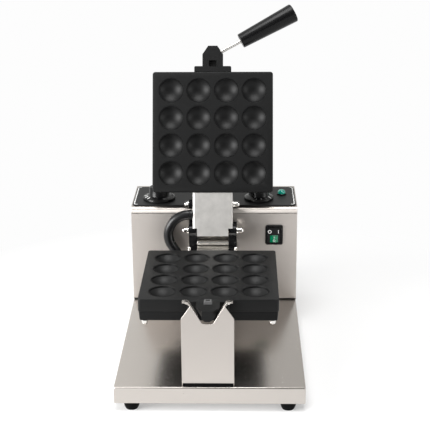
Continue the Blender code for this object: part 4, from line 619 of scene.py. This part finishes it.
def build_body():
    from_frame("base_tray", "sheet", edge=TRAY_EDGE)
    from_frame("base_bottom_plate", "sheet", edge=HAIR_EDGE, steps=1)
    from_frame("cradle_support", "cradle", edge=CRADLE_EDGE)
    from_frame("control_box_shell", "upright", edge=FINE_EDGE, steps=2)
    from_frame("control_box_hood", "hood", edge=FINE_EDGE, steps=2)
    from_frame("control_box_rear_cover", "sheet", edge=HAIR_EDGE, steps=1)
    from_frame("control_panel_plate", "panel", edge=SHEET_EDGE)
    for side in ("left", "right"):
        from_frame("nose_guide_" + side, "spring", edge=SHEET_EDGE, subdivide=1)
    low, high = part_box("control_box_shell")
    # A thin black strip along the box's foot: a painted shadow line where the box meets the deck
    painted_shadow_strip("control_box_painted_shadow_line", low.x, high.x, low.y, low.z, BOX_SHADOW_LINE_TALL)
    # A black strip across the cradle's foot: painted shade of the dark gap under its bend
    low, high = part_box("cradle_support")
    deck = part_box("base_tray")[1].z
    painted_shadow_strip("cradle_painted_shadow_gap", low.x + CRADLE_SHADOW_INSET, high.x - CRADLE_SHADOW_INSET, low.y, deck, CRADLE_SHADOW_TALL)
    for end in ("front", "rear"):
        for side in ("left", "right"):
            build_foot("_".join(("foot", end, side)))


# White lines on the panel, curled at their ends
STRIPE_WIDTH = 0.0018
STRIPE_INSET = 0.0026
STRIPE_END_INSET = 0.0036
STRIPE_RADIUS = 0.0040
STRIPE_HOOK = 0.0016
STRIPE_ARC = [i * pi / 8 for i in range(5)]


def build_stripes():
    """The white line inside the left and right edges of the panel."""
    low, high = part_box("control_panel_plate")
    front = low.y + STRIPE_END_INSET
    rear = high.y - STRIPE_END_INSET
    for name, edge, inward in (("left", low.x + STRIPE_INSET, 1), ("right", high.x - STRIPE_INSET, -1)):
        centre = edge + inward * STRIPE_RADIUS
        arc = [(centre - inward * STRIPE_RADIUS * sin(a), STRIPE_RADIUS * (1 - cos(a))) for a in STRIPE_ARC]
        path = [(centre + inward * STRIPE_HOOK, front)]
        path += [(x, front + along) for x, along in arc]
        path += [(x, rear - along) for x, along in reversed(arc)]
        path.append((centre + inward * STRIPE_HOOK, rear))
        shape = bmesh.new()
        rows = []
        for index, point in enumerate(path):
            before = Vector(path[max(index - 1, 0)])
            after = Vector(path[min(index + 1, len(path) - 1)])
            ahead = (after - before).normalized()
            across = Vector((-ahead.y, ahead.x)) * STRIPE_WIDTH / 2
            here = Vector(point)
            rows.append([shape.verts.new((*(here + across), high.z + THIN)),
                         shape.verts.new((*(here - across), high.z + THIN))])
        for (a, b), (c, d) in zip(rows, rows[1:]):
            shape.faces.new((a, b, d, c))
        piece = add("panel_stripe_" + name, mesh_of(shape, "panel_stripe"), "white_ink", "machine")
        depth = piece.modifiers.new("Solidify", "SOLIDIFY")
        depth.thickness = THIN
        depth.offset = 1.0


# Knobs: a body on a wide skirt that slopes down to its rim
KNOB_BODY = 0.0172
KNOB_DRAFT = 0.0004
KNOB_ROUNDING = 0.0030
KNOB_ROUNDING_STEPS = 6
KNOB_DISH_EDGE = 0.0045
KNOB_DISH_DEPTH = 0.0004
SKIRT_RIM = 0.0042
SKIRT_TOP = 0.0064
SKIRT_EDGE = 0.0014
# Steps outwards and upwards from the body's foot and from the rim's outer edge
KNOB_ROOT = ((0, 0.0012), (0.0005, 0.0003), (SKIRT_EDGE, 0))
KNOB_RIM = ((-SKIRT_EDGE, 0), (-0.0004, -0.0004), (0, -0.0012))
# Marks on the skirt
TICK_HALF_LENGTH = 0.0030
TICK_HALF_WIDTH = 0.0010
TICK_CORNER = 0.0003
NUMBER_SIZE = 0.0062
NUMBER_PITCH = radians(24.0)
MARKS_OUTWARDS = 0.0002
THERMOSTAT_NUMBERS = ("50", "100", "150", "200", "250")
THERMOSTAT_FIRST = radians(-62)
THERMOSTAT_TICKS = (radians(184), radians(203), radians(222))
TIMER_NUMBERS = ("5", "4", "3", "2", "1")
TIMER_FIRST = radians(-128)
TIMER_TICKS = (radians(-30),)


def knob_profile(skirt, height):
    top = KNOB_BODY - KNOB_DRAFT
    points = [(0, height - KNOB_DISH_DEPTH), (top - KNOB_DISH_EDGE, height - KNOB_DISH_DEPTH / 2)]
    points += fillet((top - KNOB_ROUNDING, height - KNOB_ROUNDING), KNOB_ROUNDING,
                     pi / 2, 0, KNOB_ROUNDING_STEPS)
    points += [(KNOB_BODY + out, SKIRT_TOP + up) for out, up in KNOB_ROOT]
    points += [(skirt + out, SKIRT_RIM + up) for out, up in KNOB_RIM]
    points += [(skirt, 0), (0, 0)]
    return points


def build_knob(node, body, numbers, first_number, ticks):
    low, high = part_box(node)
    middle = (low + high) / 2
    place = Matrix.Translation((middle.x, middle.y, low.z))
    skirt = (high.x - low.x) / 2
    lathe(node + "_moulded", knob_profile(skirt, high.z - low.z), "gloss", body, (node,), place)
    edge = skirt - SKIRT_EDGE
    slope = (SKIRT_TOP - SKIRT_RIM) / (edge - KNOB_BODY - SKIRT_EDGE)
    reach = (skirt + KNOB_BODY) / 2 + MARKS_OUTWARDS
    level = SKIRT_RIM + slope * (edge - reach) + THIN

    def on_skirt(angle):
        return (place @ Matrix.Rotation(angle, 4, "Z") @ Matrix.Translation((reach, 0, level))
                @ Matrix.Rotation(slope, 4, "Y"))

    for index, angle in enumerate(ticks):
        bar = rounded_rectangle(TICK_HALF_LENGTH, TICK_HALF_WIDTH, TICK_CORNER, 2)
        slab(node + "_tick_%d" % index, bar, 0, THIN, "white_ink", body, (), on_skirt(angle))
    for index, text in enumerate(numbers):
        angle = first_number + index * NUMBER_PITCH
        words(node + "_number_%d" % index, text, NUMBER_SIZE, "grey_ink", body,
              on_skirt(angle) @ Matrix.Rotation(pi / 2, 4, "Z"))


# Pilot light: a dome over its rim, and the black ring round it
LENS_RIM_SHARE = 0.35
LENS_ANGLES = (0, 0.2, 0.4, 0.6, 0.8, 1.0, 1.2, 1.4)
RING_PLAY = 0.0003
RING_TOP_EDGE = 0.0006
RING_SIDE_EDGE = (0.0001, 0.0005)
RING_HEIGHT = 0.0022
RING_OVERHANG = 0.0030
RING_FLOOR = 0.0004


def build_pilot():
    low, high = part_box("pilot_light_lens")
    middle = (low + high) / 2
    place = Matrix.Translation((middle.x, middle.y, 0))
    radius = (high.x - low.x) / 2
    base = low.z + (high.z - low.z) * LENS_RIM_SHARE
    dome = [(radius * sin(a), base + (high.z - base) * cos(a)) for a in LENS_ANGLES]
    lathe("pilot_lens_dome", [*dome, (radius, base), (radius, low.z), (0, low.z)], "pilot", "machine",
          ("pilot_light_lens",), place)
    ring_low, ring_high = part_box("pilot_light_ring")
    outer = (ring_high.x - ring_low.x) / 2
    inner = radius + RING_PLAY
    top = ring_high.z
    seat = top - RING_HEIGHT
    floor = low.z - RING_FLOOR
    inwards, down = RING_SIDE_EDGE
    ring = [(inner, top), (outer - RING_TOP_EDGE, top), (outer - inwards, top - down), (outer, seat),
            (outer - RING_OVERHANG, seat), (outer - RING_OVERHANG, ring_low.z), (0, ring_low.z),
            (0, floor), (inner, floor), (inner, top)]
    lathe("pilot_ring_turned", ring, "gloss", "machine", ("pilot_light_ring",), place)


# Switch: marks on the rocker, beside its window and in it
MARK_SIZE = 0.0084
WINDOW_MARK_SIZE = 0.0050
OFF_MARK_INSET = 0.0030
ON_MARK_INSET = 0.0034
WINDOW_ON_ABOVE = 0.0026
WINDOW_OFF_BELOW = 0.0030


def build_switch():
    """The housing, and the rocker with its window and four marks."""
    from_frame("rocker_switch_housing", "gloss", edge=HOUSING_EDGE)
    from_frame("power_rocker", "satin_black", edge=ROCKER_EDGE)
    from_frame("rocker_lens", "window", edge=HAIR_EDGE, steps=1)
    low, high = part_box("power_rocker")
    window_low, window_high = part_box("rocker_lens")
    middle = (window_low + window_high) / 2
    level = (high.z + window_high.z) / 2
    for name, text, size, x, y, z in (
            ("off", "O", MARK_SIZE, low.x + OFF_MARK_INSET, low.y, level),
            ("on", "I", MARK_SIZE, high.x - ON_MARK_INSET, low.y, level),
            ("window_on", "I", WINDOW_MARK_SIZE, middle.x, window_low.y, middle.z + WINDOW_ON_ABOVE),
            ("window_off", "O", WINDOW_MARK_SIZE, middle.x, window_low.y, middle.z - WINDOW_OFF_BELOW)):
        place = Matrix.Translation((x, y - 2 * THIN, z)) @ Matrix.Rotation(pi / 2, 4, "X")
        words("switch_mark_" + name, text, size, "white_ink", "rocker", place)


def build_controls():
    build_knob("thermostat_knob", "thermostat_dial", THERMOSTAT_NUMBERS, THERMOSTAT_FIRST,
               THERMOSTAT_TICKS)
    build_knob("timer_knob", "timer_dial", TIMER_NUMBERS, TIMER_FIRST, TIMER_TICKS)
    build_pilot()
    build_switch()
    from_frame("cable_gland", "satin_black", edge=FINE_EDGE, steps=2)


# Hinge, handle and conduit
SCREW_INSET = 0.0040
SCREW_BEFORE_PIN = 0.0160
SCREW_UNDER_PIN = 0.0264
SCREW_RADIUS = 0.0030
SCREW_LENGTH = 0.0030
CONDUIT_SWELL = 0.0011


def build_hinge():
    from_frame("hinge_bracket", "bright", edge=SHEET_EDGE)
    from_frame("upper_hinge_arm", "frosted", edge=CAST_EDGE, smooth=FLAT_ANGLE)
    from_frame("hinge_knuckle", "sheet", edge=SHEET_EDGE)
    from_frame("upper_hinge_lug", "mould", edge=FINE_EDGE, steps=2)
    for side in ("left", "right"):
        from_frame("hinge_ear_" + side, "gloss", edge=CAST_EDGE)
    for node, look in (("hinge_tie_bar", "bright"), ("arm_bolt_washer", "rubber"),
                       ("rotary_shaft", "bright"), ("hinge_pin", "bright"), ("upper_arm_bolt", "bright")):
        from_frame(node, look, edge=FINE_EDGE, steps=2)
    low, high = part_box("hinge_bracket")
    for side, x in (("left", low.x + SCREW_INSET), ("right", high.x - SCREW_INSET)):
        seat = Matrix.Translation((x, PIN.y - SCREW_BEFORE_PIN, PIN.z - SCREW_UNDER_PIN))
        dome_nut("bracket_screw_" + side, seat, SCREW_RADIUS, SCREW_LENGTH, "bright", "rotor")


def build_handle():
    from_frame("handle_rod", "bright", edge=HAIR_EDGE, steps=1)
    from_frame("handle_grip", "gloss", edge=SHEET_EDGE, steps=2)


def build_conduit():
    from_frame("lead_conduit", "conduit", edge=0.0, subdivide=2, swell=CONDUIT_SWELL)
    from_frame("conduit_gland_upper", "satin_black", edge=FINE_EDGE, steps=2)
    from_frame("conduit_gland_lower", "satin_black", edge=FINE_EDGE, steps=2)


def finish_inner_nodes():
    """Pieces that keep their CAD shape get their material."""
    for node, look in (("shaft_bush_front", "brass"), ("shaft_bush_rear", "brass"),
                       ("front_bearing_ring", "bright"), ("bearing_stand", "sheet"),
                       ("shaft_collar", "sheet"), ("thermostat_body", "ceramic"),
                       ("timer_body", "ceramic"), ("terminal_block", "ceramic"),
                       ("thermostat_spindle", "bright"), ("timer_spindle", "bright"),
                       ("lower_heating_element", "element"), ("upper_heating_element", "element")):
        slots = frame["nodes"][node].data.materials
        slots.clear()
        slots.append(LOOKS[look])


# Studio
FLOOR_HALF = 9.0
FLOOR_PAINT = ((0.90, 0.90, 0.90), (0.92, 0.92, 0.92))
BACKDROP = (0.982, 0.982, 0.982)
SHADOW_NEAR = 0.34
SHADOW_FAR = 0.62
SHADOW_SHARE = 0.65
SKY_STRENGTH = 0.38
MIRRORED_STRENGTH = 0.90
SKY_WARMTH = 0.98
# From one direction to another, and the shares of the sky's light there
FRONT_TO_REAR = (-0.92, -0.45, 0.25, 1.0)
LEFT_TO_RIGHT = (-0.4, 0.4, 1.2, 0.65)
# Share of the way from straight down to straight up, and the shade there
SKY = ((0.0, 0.8), (0.5, 0.9), (0.7, 1.0), (1.0, 1.0))
LAMP_TARGET = Vector((0, 0, 0.2))
# Name, place, side and power
LAMPS = (("left_softbox", (-1.7, -0.95, 0.65), 1.1, 62.0),
         ("right_softbox", (1.9, -0.6, 0.6), 0.8, 10.0),
         ("top_softbox", (0.0, -0.25, 2.2), 1.3, 40.0))


def pale_floor():
    """White to the camera, as the backdrop is, and still darkened by the shadow under the machine."""
    look = Look("pale_floor")
    look.set("Roughness", 0.9)
    look.set("Specular IOR Level", 0.0)
    look.colour(look.noise(scale=3.0), *FLOOR_PAINT)
    glow = look.node("ShaderNodeEmission", Color=(*BACKDROP, 1))
    distance = look.node("ShaderNodeVectorMath", operation="LENGTH")
    look.link(look.place(), distance.inputs[0])
    share = look.spread(distance.outputs["Value"], 1 - SHADOW_SHARE, 1.0, SHADOW_NEAR, SHADOW_FAR)
    seen = look.node("ShaderNodeLightPath")
    either = look.combine("MAXIMUM", seen.outputs["Is Camera Ray"], seen.outputs["Is Glossy Ray"])
    surface = look.mixed(look.combine("MULTIPLY", either, share),
                         look.shader.outputs["BSDF"], glow.outputs["Emission"])
    look.link(surface, look.tree.nodes["Material Output"].inputs["Surface"])
    return look.material


def build_floor():
    shape = bmesh.new()
    bmesh.ops.create_grid(shape, x_segments=1, y_segments=1, size=FLOOR_HALF)
    floor = bpy.data.objects.new("floor", mesh_of(shape, "floor"))
    floor.data.materials.append(pale_floor())
    bpy.context.scene.collection.objects.link(floor)


def build_sky():
    """White to the camera, and a soft sky to the machine that is brighter in its reflections."""
    world = bpy.data.worlds.new("studio")
    bpy.context.scene.world = world
    world.use_nodes = True
    world.node_tree.nodes.clear()
    sky = Nodes(world.node_tree)
    seen = sky.node("ShaderNodeLightPath")
    ahead = sky.node("ShaderNodeSeparateXYZ")
    sky.link(sky.node("ShaderNodeTexCoord").outputs["Generated"], ahead.inputs["Vector"])
    front, rear, front_share, rear_share = FRONT_TO_REAR
    left, right, left_share, right_share = LEFT_TO_RIGHT
    sides = sky.combine("MULTIPLY",
                        sky.spread(ahead.outputs["Y"], front_share, rear_share, front, rear),
                        sky.spread(ahead.outputs["X"], left_share, right_share, left, right))
    shades = sky.node("ShaderNodeValToRGB")
    stops = shades.color_ramp.elements
    while len(stops) < len(SKY):
        stops.new(0.5)
    for stop, (position, shade) in zip(stops, SKY):
        stop.position = position
        stop.color = (shade, shade, shade * SKY_WARMTH, 1)
    sky.link(sky.spread(ahead.outputs["Z"], 0, 1, -1, 1), shades.inputs["Fac"])
    level = sky.spread(seen.outputs["Is Glossy Ray"], SKY_STRENGTH, MIRRORED_STRENGTH, 0, 1)
    light = sky.node("ShaderNodeBackground")
    sky.link(shades.outputs["Color"], light.inputs["Color"])
    sky.link(sky.combine("MULTIPLY", sides, level), light.inputs["Strength"])
    white = sky.node("ShaderNodeBackground", Color=(*BACKDROP, 1))
    surface = sky.mixed(seen.outputs["Is Camera Ray"], light.outputs["Background"],
                        white.outputs["Background"])
    sky.link(surface, sky.node("ShaderNodeOutputWorld").inputs["Surface"])


def build_lamps():
    for name, place, size, power in LAMPS:
        data = bpy.data.lights.new(name, "AREA")
        data.shape = "SQUARE"
        data.size = size
        data.energy = power
        lamp = bpy.data.objects.new(name, data)
        turn = (Vector(place) - LAMP_TARGET).to_track_quat("Z", "Y").to_matrix().to_4x4()
        lamp.matrix_world = Matrix.Translation(place) @ turn
        bpy.context.scene.collection.objects.link(lamp)


def build_studio():
    bpy.context.scene.view_settings.view_transform = "Standard"
    build_floor()
    build_sky()
    build_lamps()


make_camera()
build_moulds()
build_key()
build_body()
build_stripes()
build_controls()
build_hinge()
build_handle()
build_conduit()
finish_inner_nodes()
build_studio()

bpy.context.view_layer.update()
